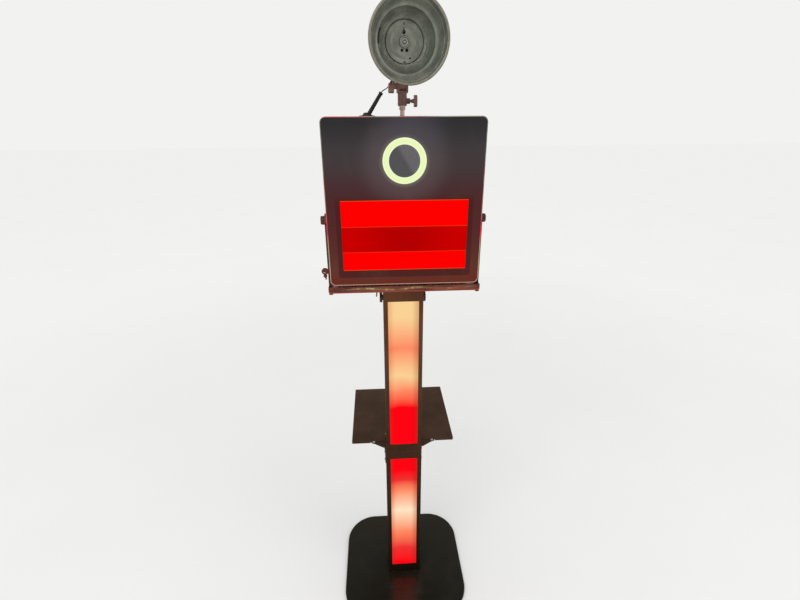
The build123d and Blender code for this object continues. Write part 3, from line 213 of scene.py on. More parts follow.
def coat(name, shaded_colours, rough, edge, grain=900, depth=0.00006, low=0.0, high=1.8, **values):
    """Powder coat: orange-peel grain, a cloudy tone, rubbed edges, and painted light and shade as a colour
    ramp along its height.
    """
    f = Finish(name, **values)
    # painted light and shade: the ramp along the height makes the coat lighter, darker or warmer where more
    # or less light falls on it
    base = f.ramp(f.z, shaded_colours, low, high)
    cloud = f.noise(7, 4)
    base = f.mix(f.span(cloud, 0.35, 0.7, 0.0, 0.35), base, tint(8, 6, 5))
    worn = f.math("MULTIPLY", f.edges(0.0012), f.span(f.noise(60, 5), 0.35, 0.6))
    base = f.mix(f.math("MULTIPLY", worn, 0.55), base, edge)
    speck = f.span(f.noise(grain * 0.5, 1), 0.66, 0.74, 0, 0.25)
    f.set(base_color=f.mix(speck, base, edge))
    f.set(roughness=f.span(f.noise(35, 4), 0.3, 0.7, rough - 0.07, rough + 0.09))
    f.bump(f.noise(grain, 2), depth, 0.6)
    return f.material


def steel(name, colour, rough, along=(1, 1, 40), dark=0.35, **values):
    """Metal with fine draw lines, a mottled tone and a painted highlight along its edges."""
    f = Finish(name, metallic=1.0, **values)
    lines = f.noise(120, 3, f.stretched(along))
    shade = tuple(c * (1 - dark) for c in colour[:3]) + (1,)
    base = f.mix(f.span(lines, 0.3, 0.7), shade, colour)
    base = f.mix(f.span(f.noise(18, 4), 0.4, 0.75, 0, 0.5), base, shade)
    # painted highlight: a lighter colour along the hard edges
    light = tuple(min(1, c * 1.5 + 0.05) for c in colour[:3]) + (1,)
    f.set(base_color=f.mix(f.math("MULTIPLY", f.edges(0.0008), 0.7), base, light))
    f.set(roughness=f.span(lines, 0.25, 0.75, rough - 0.06, rough + 0.1))
    f.bump(lines, 0.00004, 0.5)
    return f.material


def plastic(name, colour, rough, grain=1400, depth=0.00005, **values):
    """Moulded plastic: fine spark-eroded grain, dust in it and a painted highlight along its edges."""
    f = Finish(name, **values)
    dust = tuple(c * 0.75 + 0.035 for c in colour[:3]) + (1,)
    base = f.mix(f.span(f.noise(22, 5), 0.45, 0.75, 0, 0.6), colour, dust)
    # painted highlight: a lighter colour along the hard edges
    light = tuple(c * 0.9 + 0.06 for c in colour[:3]) + (1,)
    f.set(base_color=f.mix(f.math("MULTIPLY", f.edges(0.0008), 0.5), base, light))
    f.set(roughness=f.span(f.noise(50, 3), 0.3, 0.7, rough - 0.06, rough + 0.08))
    f.bump(f.cells(grain), depth, 0.5)
    return f.material


# ---------------------------------------------------------------- finishes
# each ramp is a coat's dark colour with painted light and shade along its height, lighter and warmer where
# more light falls
COLUMN_SHADED_COLOURS = [(0.0, tint(27, 19, 10)), (0.25, tint(36, 27, 16)), (0.48, tint(60, 41, 27)),
                  (0.62, tint(60, 37, 22)), (0.85, tint(74, 52, 36)), (1.1, tint(90, 62, 44)),
                  (1.2, tint(96, 64, 44)), (1.26, tint(120, 70, 46))]
column_coat = coat("column_coat", COLUMN_SHADED_COLOURS, 0.5, tint(150, 110, 80), specular_ior_level=0.05)
SHELF_SHADED_COLOURS = [(0.6, tint(58, 40, 30)), (0.64, tint(72, 52, 39))]
shelf_coat = coat("shelf_coat", SHELF_SHADED_COLOURS, 0.45, tint(150, 122, 96), low=0.6, high=0.64,
                  specular_ior_level=0.04)
HOOD_SHADED_COLOURS = [(1.29, tint(70, 36, 28)), (1.36, tint(50, 32, 27)), (1.5, tint(38, 28, 26)),
                (1.74, tint(30, 27, 26))]
hood_coat = coat("hood_coat", HOOD_SHADED_COLOURS, 0.42, tint(140, 120, 105), specular_ior_level=0.25)
BRACKET_BROWN = tint(118, 84, 74)
FINE_COAT = {"grain": 1500, "depth": 0.00003, "low": 1.2, "high": 2.0}
bracket_coat = coat("bracket_coat", [(1.7, tint(114, 76, 68)), (1.9, BRACKET_BROWN)], 0.38,
                    tint(170, 124, 110), specular_ior_level=0.3, **FINE_COAT)
KNOB_SHADED_COLOURS = [(1.2, tint(88, 54, 44)), (1.3, tint(84, 48, 40)), (1.5, tint(74, 38, 34)),
                (1.74, tint(142, 112, 102)), (1.8, tint(140, 110, 100)), (1.815, tint(122, 86, 76))]
knob_coat = coat("knob_coat", KNOB_SHADED_COLOURS, 0.34, tint(160, 110, 96), specular_ior_level=0.25, **FINE_COAT)


def make_base_gloss():
    """Satin-black floor plate with wiping marks and dust, wiped bright in front of the column's light."""
    f = Finish("base_gloss")
    dust = f.span(f.noise(14, 6), 0.45, 0.75, 0, 0.3)
    # painted light and shade: the black plate is darker towards its front and lighter towards its back
    shaded_black = f.ramp(f.y, [(-0.22, tint(22, 20, 14)), (0.2, tint(36, 32, 23))], -0.23, 0.23)
    base = f.mix(dust, shaded_black, tint(46, 41, 32))
    worn = f.math("MULTIPLY", f.edges(0.002), f.span(f.noise(50, 4), 0.4, 0.6))
    f.set(base_color=f.mix(f.math("MULTIPLY", worn, 0.5), base, tint(120, 110, 96)))
    wiped = f.math("MULTIPLY", f.span(f.math("ABSOLUTE", f.x), 0.03, 0.09, 1.0, 0.0),
                   f.span(f.y, -0.1, -0.03, 1.0, 0.0))
    f.set(specular_ior_level=f.span(wiped, 0.0, 1.0, 0.09, 0.5))
    wipes = f.noise(5, 5, f.stretched((1, 6, 1)))
    f.set(roughness=f.span(wipes, 0.3, 0.7, 0.2, 0.34))
    f.bump(f.noise(260, 2), 0.00003, 0.4)
    return f.material


def grey(share):
    """A plain share of 0 to 1 as a ramp's colour."""
    return (share, share, share, 1)


def make_yoke_gloss():
    """Red-brown lacquer, clouded along the bar, with a few painted olive and cream reflection streaks, and a
    painted lighter red where its floor lies in the head's shade.
    """
    f = Finish("yoke_gloss", coat_weight=0.15, coat_roughness=0.12, specular_ior_level=0.15)
    cloud = f.noise(7, 3, f.stretched((1.4, 3, 5)))
    base = f.mix(f.span(cloud, 0.4, 0.64), tint(80, 30, 22), tint(116, 58, 42))
    # painted reflections: olive and cream streaks along a wavy line across the bar
    wave = f.math("MULTIPLY", f.math("SINE", f.math("MULTIPLY", f.x, 38.0)), 0.0022)
    off = f.math("ABSOLUTE", f.math("SUBTRACT", f.z, f.math("ADD", wave, 1.2805)))
    reach = f.ramp(f.x, [(-0.2, grey(0)), (-0.15, grey(0.2)), (-0.1, grey(0.8)), (-0.05, grey(0.5)),
                         (-0.02, grey(0.2)), (0.003, grey(0.9)), (0.02, grey(0.5)), (0.08, grey(0.3)),
                         (0.2, grey(0.1))], -0.22, 0.22)
    reflection_streak = f.math("MULTIPLY", f.span(off, 0.0008, 0.0042, 1.0, 0.0), reach)
    glint = f.mix(f.span(f.noise(31, 2), 0.45, 0.6), tint(128, 112, 60), tint(206, 184, 142))
    base = f.mix(reflection_streak, base, glint)
    # painted light: a brighter red on the inner floor's top, which lies in shade under the head
    floor = f.math("MULTIPLY", f.span(f.z, 1.2726, 1.2728), f.span(f.z, 1.2733, 1.2735, 1.0, 0.0))
    base = f.mix(floor, base, tint(190, 66, 52))
    worn = f.math("MULTIPLY", f.edges(0.0014), f.span(f.noise(45, 5), 0.38, 0.58))
    f.set(base_color=f.mix(f.math("MULTIPLY", worn, 0.6), base, tint(176, 104, 88)))
    f.set(roughness=f.span(cloud, 0.3, 0.7, 0.22, 0.36))
    f.bump(f.noise(500, 2), 0.00004, 0.4)
    return f.material


def make_trim():
    """Polished metal edge with painted reflections: red beside the screen, cream below it, duller above; red
    along the top's left.
    """
    f = Finish("panel_trim_metal", metallic=1.0)
    # painted reflections: the sides' colours run along the height, the top's along its width
    side = f.ramp(f.z, [(1.30, tint(200, 152, 132)), (1.345, tint(206, 180, 156)),
                        (1.385, tint(184, 162, 132)), (1.42, tint(182, 150, 124)),
                        (1.445, tint(240, 52, 70)), (1.478, tint(232, 50, 68)), (1.50, tint(176, 96, 92)),
                        (1.60, tint(150, 96, 90)), (1.65, tint(112, 108, 104)),
                        (1.735, tint(108, 104, 102))], 1.29, 1.745)
    top_reflection = f.ramp(f.x, [(-0.2, tint(222, 84, 84)), (-0.12, tint(214, 110, 100)), (-0.07, tint(150, 146, 130)),
                       (0.0, tint(196, 122, 112)), (0.05, tint(168, 106, 96)), (0.1, tint(186, 182, 160)),
                       (0.2, tint(150, 148, 128))], -0.21, 0.21)
    base = f.mix(f.span(f.z, 1.7375, 1.7385), side, top_reflection)
    # painted reflections: paler streaks from noise
    reflection_streak = f.span(f.noise(38, 3), 0.38, 0.66, 0.0, 0.45)
    f.set(base_color=f.mix(reflection_streak, base, tint(168, 156, 140)))
    f.set(roughness=f.span(f.noise(90, 3), 0.3, 0.7, 0.2, 0.34))
    f.bump(f.noise(400, 2, f.stretched((1, 1, 0.2))), 0.00003, 0.4)
    return f.material


SCREEN_LOW, SCREEN_HIGH = 1.3402, 1.5338
BAND_LOW, BAND_HIGH = 1.3925, 1.4629
RING_Z, RING_IN, RING_OUT = 1.633, 0.0406, 0.0573
GLOW_BLACK = (0, 0, 0, 1)


def make_panel():
    """Gloss black acrylic with painted warm-brown light that grows downward, a painted pale halo round the
    ring light, and the display's darker border behind it.
    """
    f = Finish("front_acrylic", specular_ior_level=0.2, coat_weight=0.0)
    # painted light and reflection: the ramp turns the black acrylic warm brown and red towards the bottom
    base = f.ramp(f.z, [(1.31, tint(93, 30, 12)), (1.343, tint(88, 38, 24)), (1.40, tint(80, 30, 22)),
                        (1.46, tint(74, 24, 24)), (1.524, tint(70, 22, 24)), (1.552, tint(64, 28, 30)),
                        (1.578, tint(62, 34, 38)), (1.613, tint(58, 44, 46)), (1.66, tint(52, 46, 48)),
                        (1.70, tint(42, 38, 40)), (1.725, tint(34, 31, 33))], 1.29, 1.74)
    border = f.math("SUBTRACT", 1.0, f.outside(1.4335, 0.186, 0.1145, 0.002))
    border = f.math("MULTIPLY", border, f.span(f.z, 1.525, 1.552, 0.85, 0.0))
    base = f.mix(border, base, tint(62, 6, 6))
    # painted light: a pale halo round the ring light
    away = f.ring(0.0, RING_Z)
    base = f.mix(f.span(away, RING_OUT, 0.14, 0.45, 0.0), base, tint(94, 82, 84))
    base = f.mix(f.span(away, RING_OUT, RING_OUT + 0.012, 0.5, 0.0), base, tint(112, 112, 92))
    cool = f.span(f.ring(0.02, 1.71), 0.02, 0.12, 0.45, 0.0)
    base = f.mix(cool, base, tint(62, 62, 74))
    smear = f.span(f.noise(10, 6, f.stretched((2, 1, 1))), 0.5, 0.8, 0, 0.07)
    f.set(base_color=f.mix(smear, base, tint(110, 96, 92)))
    f.set(roughness=f.span(f.noise(12, 5), 0.35, 0.75, 0.06, 0.16))
    f.bump(f.noise(30, 1), 0.00005, 0.15)
    return f.material


def make_screen():
    """The lit picture behind the touch glass: two bright red fields and a darker band between them."""
    f = Finish("touch_screen", base_color=GLOW_BLACK, specular_ior_level=0.0, emission_strength=1.0)
    middle = f.mix(f.span(f.math("ABSOLUTE", f.x), 0.0, 0.16), tint(180, 0, 0), tint(202, 0, 0))
    inside = f.math("MULTIPLY", f.span(f.z, BAND_LOW - 0.0008, BAND_LOW + 0.0008),
                    f.span(f.z, BAND_HIGH - 0.0008, BAND_HIGH + 0.0008, 1.0, 0.0))
    picture = f.mix(inside, tint(255, 0, 0), middle)
    lines = ((BAND_LOW, 0.3), (BAND_HIGH, 0.35), (SCREEN_LOW + 0.0006, 0.75), (SCREEN_HIGH - 0.0006, 0.75))
    for height, strength in lines:
        line = f.span(f.math("ABSOLUTE", f.math("SUBTRACT", f.z, height)), 0.0003, 0.0013, strength, 0.0)
        picture = f.mix(line, picture, tint(255, 84, 20))
    # fine rows of picture cells, only just there
    rows = f.math("SINE", f.math("MULTIPLY", f.z, 6000.0))
    f.set(emission_color=f.mix(f.span(rows, -1, 1, 0.0, 0.05), picture, tint(120, 0, 0)))
    f.set(roughness=f.span(f.noise(11, 5), 0.4, 0.8, 0.3, 0.4))
    return f.material


def make_ring_light():
    """Opal ring, lit from behind: paler along its two rims, and faintly uneven from one lamp to the next."""
    f = Finish("ring_light", base_color=GLOW_BLACK, roughness=0.5, specular_ior_level=0.0,
               emission_strength=1.0)
    middle = (RING_IN + RING_OUT) / 2
    away = f.math("ABSOLUTE", f.math("SUBTRACT", f.ring(0.0, RING_Z), middle))
    half = (RING_OUT - RING_IN) / 2
    glow = f.mix(f.span(away, half - 0.0045, half - 0.001), tint(234, 250, 186), tint(252, 253, 226))
    glow = f.mix(f.span(away, half - 0.0008, half), glow, tint(206, 220, 170))
    f.set(emission_color=f.mix(f.span(f.noise(60, 2), 0.3, 0.7, 0, 0.2), glow, tint(222, 243, 172)))
    f.bump(f.noise(700, 2), 0.00003, 0.3)
    return f.material


def make_light_panel(name, stops, low, high):
    """Opal light cover whose colour runs along its height; redder and dimmer towards its two long edges."""
    f = Finish(name, base_color=GLOW_BLACK, roughness=0.6, specular_ior_level=0.0, emission_strength=1.0)
    wave = f.math("MULTIPLY", f.math("SUBTRACT", f.noise(9, 1), 0.5), 0.03)
    bow = f.math("MULTIPLY", f.math("MULTIPLY", f.x, f.x), 3.0)
    glow = f.ramp(f.math("ADD", f.z, f.math("ADD", wave, bow)), stops, low, high)
    side = f.span(f.math("ABSOLUTE", f.x), 0.026, 0.0485, 0.0, 0.75)
    glow = f.mix(side, glow, f.mix(1.0, glow, tint(236, 214, 206), "MULTIPLY"))
    right = f.span(f.x, 0.02, 0.046, 0.0, 0.8)
    glow = f.mix(right, glow, f.mix(1.0, glow, tint(236, 240, 240), "MULTIPLY"))
    red = f.math("MULTIPLY", f.span(f.math("ABSOLUTE", f.x), 0.03, 0.0485),
                 f.span(f.z, 0.8, 0.95, 0.22, 0.03))
    f.set(emission_color=f.mix(red, glow, tint(230, 50, 50)))
    f.bump(f.noise(900, 2), 0.00003, 0.3)
    return f.material


# the panels' lamps fade between a few warm hues
RED = tint(255, 5, 20)
DULL_RED = tint(240, 50, 50)
ORANGE = tint(255, 140, 100)
CREAM = tint(250, 210, 150)
PALE_CREAM = tint(255, 230, 195)
UPPER_WASH = [(0.66, RED), (0.82, RED), (0.89, ORANGE), (0.95, CREAM), (1.05, ORANGE), (1.16, CREAM)]
LOWER_WASH = [(0.06, RED), (0.14, DULL_RED), (0.24, ORANGE), (0.35, PALE_CREAM), (0.45, ORANGE),
              (0.5, DULL_RED), (0.55, RED)]
upper_glow = make_light_panel("upper_light", UPPER_WASH, 0.65, 1.22)
lower_glow = make_light_panel("lower_light", LOWER_WASH, 0.04, 0.61)


def make_smoked_glass():
    """Dark window over the camera, with a faint slanted sheen."""
    f = Finish("smoked_glass", transmission_weight=0.55, ior=1.45)
    slant = f.math("ADD", f.x, f.math("MULTIPLY", f.math("SUBTRACT", f.z, RING_Z), 0.6))
    sheen = f.span(slant, -0.004, 0.012)
    f.set(base_color=f.mix(sheen, tint(96, 94, 98), tint(126, 123, 128)))
    f.set(roughness=f.span(f.noise(14, 4), 0.3, 0.7, 0.03, 0.09))
    return f.material


def make_reflector_metal():
    """Spun alloy of the flash bowl and its face disc: a mottled grey-green."""
    f = Finish("reflector_metal", metallic=0.4, specular_ior_level=0.4)
    blotch = f.noise(26, 5)
    base = f.mix(f.span(blotch, 0.35, 0.7), tint(108, 110, 100), tint(142, 144, 132))
    base = f.mix(f.span(f.noise(9, 3), 0.5, 0.68, 0, 0.45), base, tint(98, 108, 97))
    f.set(base_color=base)
    f.set(roughness=f.span(f.noise(70, 3), 0.3, 0.7, 0.36, 0.5))
    f.bump(f.noise(900, 2), 0.00004, 0.4)
    return f.material


def make_frosted_ring():
    """Frosted ring over the flash tube, nearly the face's own grey."""
    f = Finish("frosted_ring", metallic=0.25, specular_ior_level=0.4)
    base = f.mix(f.span(f.noise(30, 4), 0.35, 0.7), tint(112, 113, 104), tint(138, 139, 128))
    f.set(base_color=f.mix(f.span(f.noise(150, 2), 0.55, 0.7, 0, 0.3), base, tint(140, 140, 128)))
    f.set(roughness=f.span(f.noise(60, 3), 0.3, 0.7, 0.4, 0.55))
    f.bump(f.cells(1600), 0.00004, 0.5)
    return f.material


def make_flash_plastic():
    """Grained black casing; its hinge lug is coated the bracket's brown."""
    f = Finish("flash_plastic", specular_ior_level=0.35)
    dust = f.mix(f.span(f.noise(22, 5), 0.45, 0.75, 0, 0.6), tint(34, 34, 32), tint(54, 54, 50))
    lug = f.span(f.z, 1.846, 1.8465, 1.0, 0.0)
    f.set(base_color=f.mix(lug, dust, BRACKET_BROWN))
    f.set(roughness=f.span(f.noise(50, 3), 0.3, 0.7, 0.42, 0.56))
    f.bump(f.cells(900), 0.00012, 0.5)
    return f.material


def make_printed_board(name, mask, copper):
    """Circuit board: solder mask with traces under it and small bright pads."""
    f = Finish(name, roughness=0.35)
    grid = f.cells(420)
    base = f.mix(f.span(f.noise(160, 2, f.stretched((1, 1, 5))), 0.5, 0.54), mask, copper)
    f.set(base_color=f.mix(f.span(grid, 0.12, 0.2, 0.8, 0.0), base, tint(226, 222, 205)))
    f.bump(grid, 0.0001, 0.3)
    return f.material


def make_lens_glass():
    """Coated lens: deep violet to green in its glass."""
    f = Finish("lens_glass", ior=1.6, roughness=0.03, coat_weight=1.0, coat_roughness=0.02)
    radius = f.ring(0.0, RING_Z)
    base = f.ramp(radius, [(0.0, tint(30, 22, 48)), (0.008, tint(14, 20, 26)), (0.013, tint(20, 30, 24)),
                           (0.018, tint(6, 6, 8))], 0.0, 0.03)
    f.set(base_color=f.mix(f.span(f.noise(30, 3), 0.4, 0.7, 0, 0.3), base, tint(26, 12, 40)))
    return f.material


black_plastic = plastic("black_plastic", tint(30, 27, 25), 0.45)
rubber = plastic("rubber", tint(26, 24, 23), 0.62, grain=700, depth=0.0001, specular_ior_level=0.35)
flash_plastic = make_flash_plastic()
# painted shade: near-black material for faces deep in holes and slots
cavity_shade = plastic("cavity_shade", tint(14, 14, 13), 0.7, specular_ior_level=0.1)
rim_metal = steel("rim_metal", tint(136, 134, 120), 0.4, along=(1, 1, 1), dark=0.25)
pin_metal = steel("pin_metal", tint(122, 92, 86), 0.4, along=(1, 1, 4))
boss_metal = steel("boss_metal", tint(156, 157, 148), 0.4, along=(1, 1, 1), dark=0.3)
nylon = plastic("nylon", tint(205, 198, 180), 0.5)
rocker_plastic = plastic("rocker_plastic", tint(120, 22, 18), 0.35)
bright_steel = steel("bright_steel", tint(176, 168, 156), 0.3)
dark_steel = steel("dark_steel", tint(72, 64, 58), 0.38)
zinc = steel("zinc_sheet", tint(150, 152, 150), 0.42, along=(1, 1, 1), dark=0.2)
anodised = steel("anodised", tint(52, 50, 50), 0.42, along=(30, 1, 1), dark=0.2)
stud_metal = steel("stud_metal", tint(186, 156, 146), 0.2, along=(1, 1, 8))
nickel = steel("nickel", tint(190, 160, 140), 0.24, along=(1, 1, 12))
key_metal = steel("key_metal", tint(110, 66, 56), 0.34, along=(1, 1, 12))
base_gloss = make_base_gloss()
yoke_gloss = make_yoke_gloss()
reflector_metal = make_reflector_metal()

FINISHES = {
    column_coat: "lower_column upper_column lower_back_cover upper_back_cover mast_tube mast_guide",
    shelf_coat: "shelf_plate shelf_bracket_left shelf_bracket_right",
    hood_coat: "front_frame rear_hood",
    bracket_coat: "flash_bracket",
    knob_coat: "bracket_knob tilt_lever tilt_knob_left tilt_knob_right clamp_knob_left clamp_knob_right",
    base_gloss: "base_plate",
    yoke_gloss: "yoke",
    make_trim(): "panel_trim",
    make_panel(): "front_panel",
    make_screen(): "touch_glass",
    make_ring_light(): "ring_diffuser",
    make_smoked_glass(): "lens_window",
    upper_glow: "upper_diffuser",
    lower_glow: "lower_diffuser",
    make_printed_board("led_board", tint(216, 214, 204), tint(190, 176, 140)): "led_boards ring_led_board",
    make_lens_glass(): "camera_lens",
    black_plastic: "led_controller power_inlet camera_body",
    rubber: "base_pad cable_gland lead_lower lead_upper",
    flash_plastic: "flash_housing flash_dial",
    nylon: "friction_washers",
    rocker_plastic: "power_switch",
    bright_steel: "shelf_screws lock_cam",
    dark_steel: "base_screws cover_screws module_bolts yoke_screws hinge_frame_leaf",
    zinc: "power_supply inner_chassis display_panel",
    anodised: "mini_pc",
    stud_metal: "flash_stud",
    nickel: "lock_barrel",
    key_metal: "key spare_key",
    reflector_metal: "reflector flash_face modelling_lamp flash_tube",
}
for material, names in FINISHES.items():
    for name in names.split():
        node = nodes[name]
        for place in node.material_slots:
            place.material = material
        if not node.material_slots:
            node.data.materials.append(material)


# ---------------------------------------------------------------- pieces made here
joints = {joint["name"]: joint for joint in frame["joints"]}
FLASH_RIGHT = Vector(joints["flash_tilt"]["axis"]).normalized()
FLASH_REAR = Vector(joints["flash_power_dial"]["axis"]).normalized()
FLASH_UP = FLASH_RIGHT.cross(FLASH_REAR)
LIGHT_AXIS = Vector(joints["flash_tilt"]["pos_m"]) + 96 * MM * FLASH_UP


def flash_frame():
    """The light's axis over the tilt pin, with x to the flash's right, y up and z forward along its light."""
    turned = Matrix((FLASH_RIGHT, FLASH_UP, -FLASH_REAR)).transposed().to_4x4()
    return Matrix.Translation(LIGHT_AXIS) @ turned


def add_piece(name, bm, material, body, replaced=(), extra=(), smooth_angle=40):
    """Makes a piece from a bmesh whose sizes are in metres, and lets it ride on a body.
    It stands in for the replaced nodes, and faces may take their material from extra."""
    bmesh.ops.recalc_face_normals(bm, faces=bm.faces)
    for edge in bm.edges:
        edge.smooth = edge.is_manifold and edge.calc_face_angle(0) < math.radians(smooth_angle)
    for face in bm.faces:
        face.smooth = True
    mesh = bpy.data.meshes.new(name)
    bm.to_mesh(mesh)
    bm.free()
    for each in (material, *extra):
        mesh.materials.append(each)
    piece = bpy.data.objects.new(name, mesh)
    bpy.context.scene.collection.objects.link(piece)
    if replaced:
        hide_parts(*replaced)
    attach(piece, body)


def lathe(profile, place, turns=160, shift=None, shifted=0):
    """Turns (radius, along) points in mm about place's z axis; shift(x, y, along) adds mm along that axis to
    the first shifted points' rings. A profile with an end on the axis closes there; any other joins
    its two ends."""
    bm = bmesh.new()
    rings = []
    for number, (radius, along) in enumerate(profile):
        count = turns if radius > 0 else 1
        ring = []
        for step in range(count):
            angle = 2 * math.pi * step / turns
            x, y = radius * math.cos(angle), radius * math.sin(angle)
            push = shift(x, y, along) if number < shifted else 0
            ring.append(bm.verts.new(place @ (Vector((x, y, along + push)) * MM)))
        rings.append(ring)
    pairs = list(zip(rings, rings[1:]))
    if profile[0][0] > 0 and profile[-1][0] > 0:
        pairs.append((rings[-1], rings[0]))
    for first, second in pairs:
        for step in range(turns):
            after = (step + 1) % turns
            corners = [first[step % len(first)], first[after % len(first)],
                       second[after % len(second)], second[step % len(second)]]
            bm.faces.new(list(dict.fromkeys(corners)))
    return bm


def smooth_profile(points, step):
    """The (radius, along) points with straight runs divided so that none is longer than step mm."""
    out = [points[0]]
    for (r0, a0), (r1, a1) in zip(points, points[1:]):
        parts = max(1, math.ceil(math.hypot(r1 - r0, a1 - a0) / step))
        out += [(r0 + (r1 - r0) * i / parts, a0 + (a1 - a0) * i / parts) for i in range(1, parts + 1)]
    return out


def dip(distance, radius, depth):
    """A round-bottomed hollow: depth at its middle, nothing beyond its radius."""
    return -depth * (1 - (distance / radius) ** 4) if distance < radius else 0.0


# the bowl: hammered cone, a step, a smooth band with a fine ridge, and the rolled rim; then back along its
# outside
HAMMERED = [(48.4, 29.5), (54.6, 33.5), (60.4, 39), (65.2, 46), (68.2, 52), (69.6, 58)]
BAND = [(69.9, 59.2), (74.4, 60.8), (78.4, 66), (82.4, 74), (85.2, 82), (85.6, 83), (86.4, 83.4),
        (86.8, 84.6), (87.8, 91), (88.2, 97.6)]
RIM = [(88.4, 99), (89.4, 100.4), (91.4, 101.3), (93.6, 101.2), (95.1, 100), (95.5, 98.6), (94.8, 97.4)]
OUTSIDE = [(93.2, 96), (91.2, 88), (87.6, 76), (82.2, 64), (76, 54.5), (67, 43), (58, 34.5), (50.2, 28),
           (49.8, 24.2), (47.4, 24.2), (47.2, 27.5)]
SLOT_R = 66.5
BOWL_TURNS = 288


def in_slot(x, y):
    """Whether a place is level with the cooling slot at the bowl's left."""
    return -5 < math.degrees(math.atan2(y, -x)) < 24


def hammer(x, y, along):
    """Small round hammer marks in the inner cone, and a long slot in its left side beside the step."""
    radius = math.hypot(x, y)
    nearest = noise.voronoi(Vector((x, y, along)) / 6.5)[0][0]
    slot = dip(abs(radius - SLOT_R), 1.9, 2.2) if in_slot(x, y) else 0.0
    return slot - 2.6 * max(0.0, 0.45 - nearest)


def make_bowl():
    cone = smooth_profile(HAMMERED, 1.1)
    rim_start = len(cone) + len(BAND)
    bm = lathe(cone + BAND + RIM + OUTSIDE, flash_frame(), BOWL_TURNS, hammer, len(cone))
    to_flash = flash_frame().inverted()
    for number, face in enumerate(bm.faces):
        ring = number // BOWL_TURNS
        centre = to_flash @ face.calc_center_median() / MM
        if rim_start <= ring < rim_start + len(RIM):
            face.material_index = 1
        # painted shade: the slot's faces take the dark cavity material
        elif ring < len(cone) and abs(centre.xy.length - SLOT_R) < 1.5 and in_slot(*centre.xy):
            face.material_index = 2
    add_piece("flash_bowl", bm, reflector_metal, "flash", ["reflector"], (rim_metal, cavity_shade))


# holes of the face disc in mm: x, y and radius
PIN_HOLES = ((-1.5, 20.5, 4.2), (-6, -17.5, 3.6), (6, -17.5, 4.0), (14, -34, 2.4))


def face_relief(x, y, _along):
    """Turned ripples, a wiring groove, pin holes and a notch at the edge of the face disc."""
    radius = math.hypot(x, y)
    ripple = 0.12 * math.sin(radius * 1.7) if radius > 15 else 0.0
    groove = dip(abs(x + 1.5), 2.2, 1.6) if 22 < y < 40 else 0.0
    pins = sum(dip(math.hypot(x - hole_x, y - hole_y), size, 3.5) for hole_x, hole_y, size in PIN_HOLES)
    notch = dip(math.hypot(x - 1, y + 44.5), 3.4, 2.4)
    return ripple + groove + pins + notch


def make_flash_face():
    front = smooth_profile([(0, 28.7), (44.4, 28.7)], 0.8)
    edge = [(44.9, 29.3), (45.6, 29.5), (46.2, 29.1), (46.5, 28.2), (46.5, 24.1), (0, 24.1)]
    bm = lathe(front + edge, flash_frame(), 220, face_relief, len(front))
    to_flash = flash_frame().inverted()
    for face in bm.faces:
        # painted shade: faces deep in the holes, groove and notch take the dark cavity material
        centre = to_flash @ face.calc_center_median() / MM
        if 24.5 < centre.z < 27.2 and centre.xy.length < 46:
            face.material_index = 1
    add_piece("flash_disc", bm, reflector_metal, "flash", ["flash_face"], (cavity_shade,))

    ring = [(29.2, 28.8), (29.6, 29.25), (30.8, 29.4), (31.6, 29.2), (32.4, 29.4), (33.2, 29.2), (34, 29.4),
            (35.4, 29.25), (35.8, 28.8), (35.6, 28.3), (29.4, 28.3)]
    add_piece("flash_ring_cover", lathe(ring, flash_frame(), 200), make_frosted_ring(), "flash",
              ["flash_tube"])

    boss = [(0, 33.2), (2.2, 33.1), (3.6, 32.4), (4.6, 31.2), (5.4, 29.9), (6.6, 29.6), (8.8, 29.9),
            (9.6, 31.4), (10.6, 32.4), (11.8, 32.5), (12.8, 31.8), (13.4, 30.2), (13.6, 28.2), (0, 28.2)]
    add_piece("modelling_boss", lathe(boss, flash_frame(), 96), boss_metal, "flash", ["modelling_lamp"])


# the flash lead: its rubber boot on the head, the bead that clips it to the bracket, and its socket under
# the flash
STUD = Vector((-1, -40, 1812)) * MM
PAN_REAR = Vector((0, 0, 1)).cross(FLASH_RIGHT)
BOOT_LOW, BOOT_TOP = Vector((-91.5, -40, 1743)) * MM, Vector((-55, -40, 1798)) * MM
BOOT_DIR = (BOOT_TOP - BOOT_LOW).normalized()
CLIP_AT = STUD + (-26 * FLASH_RIGHT + 15 * PAN_REAR + Vector((0, 0, 12))) * MM
CLIP_DIR = Vector((0.45, 0.45, 0.77)).normalized()
CLIP_NEAR, CLIP_FAR = CLIP_AT - 4.05 * MM * CLIP_DIR, CLIP_AT + 4 * MM * CLIP_DIR
LEAD_SOCKET = STUD + (-18 * FLASH_RIGHT + 34 * FLASH_REAR + 41.7 * FLASH_UP) * MM
LEAD_MIDDLE = Vector((-42, -36, 1806.5)) * MM
LEAD_R = 1.2 * MM


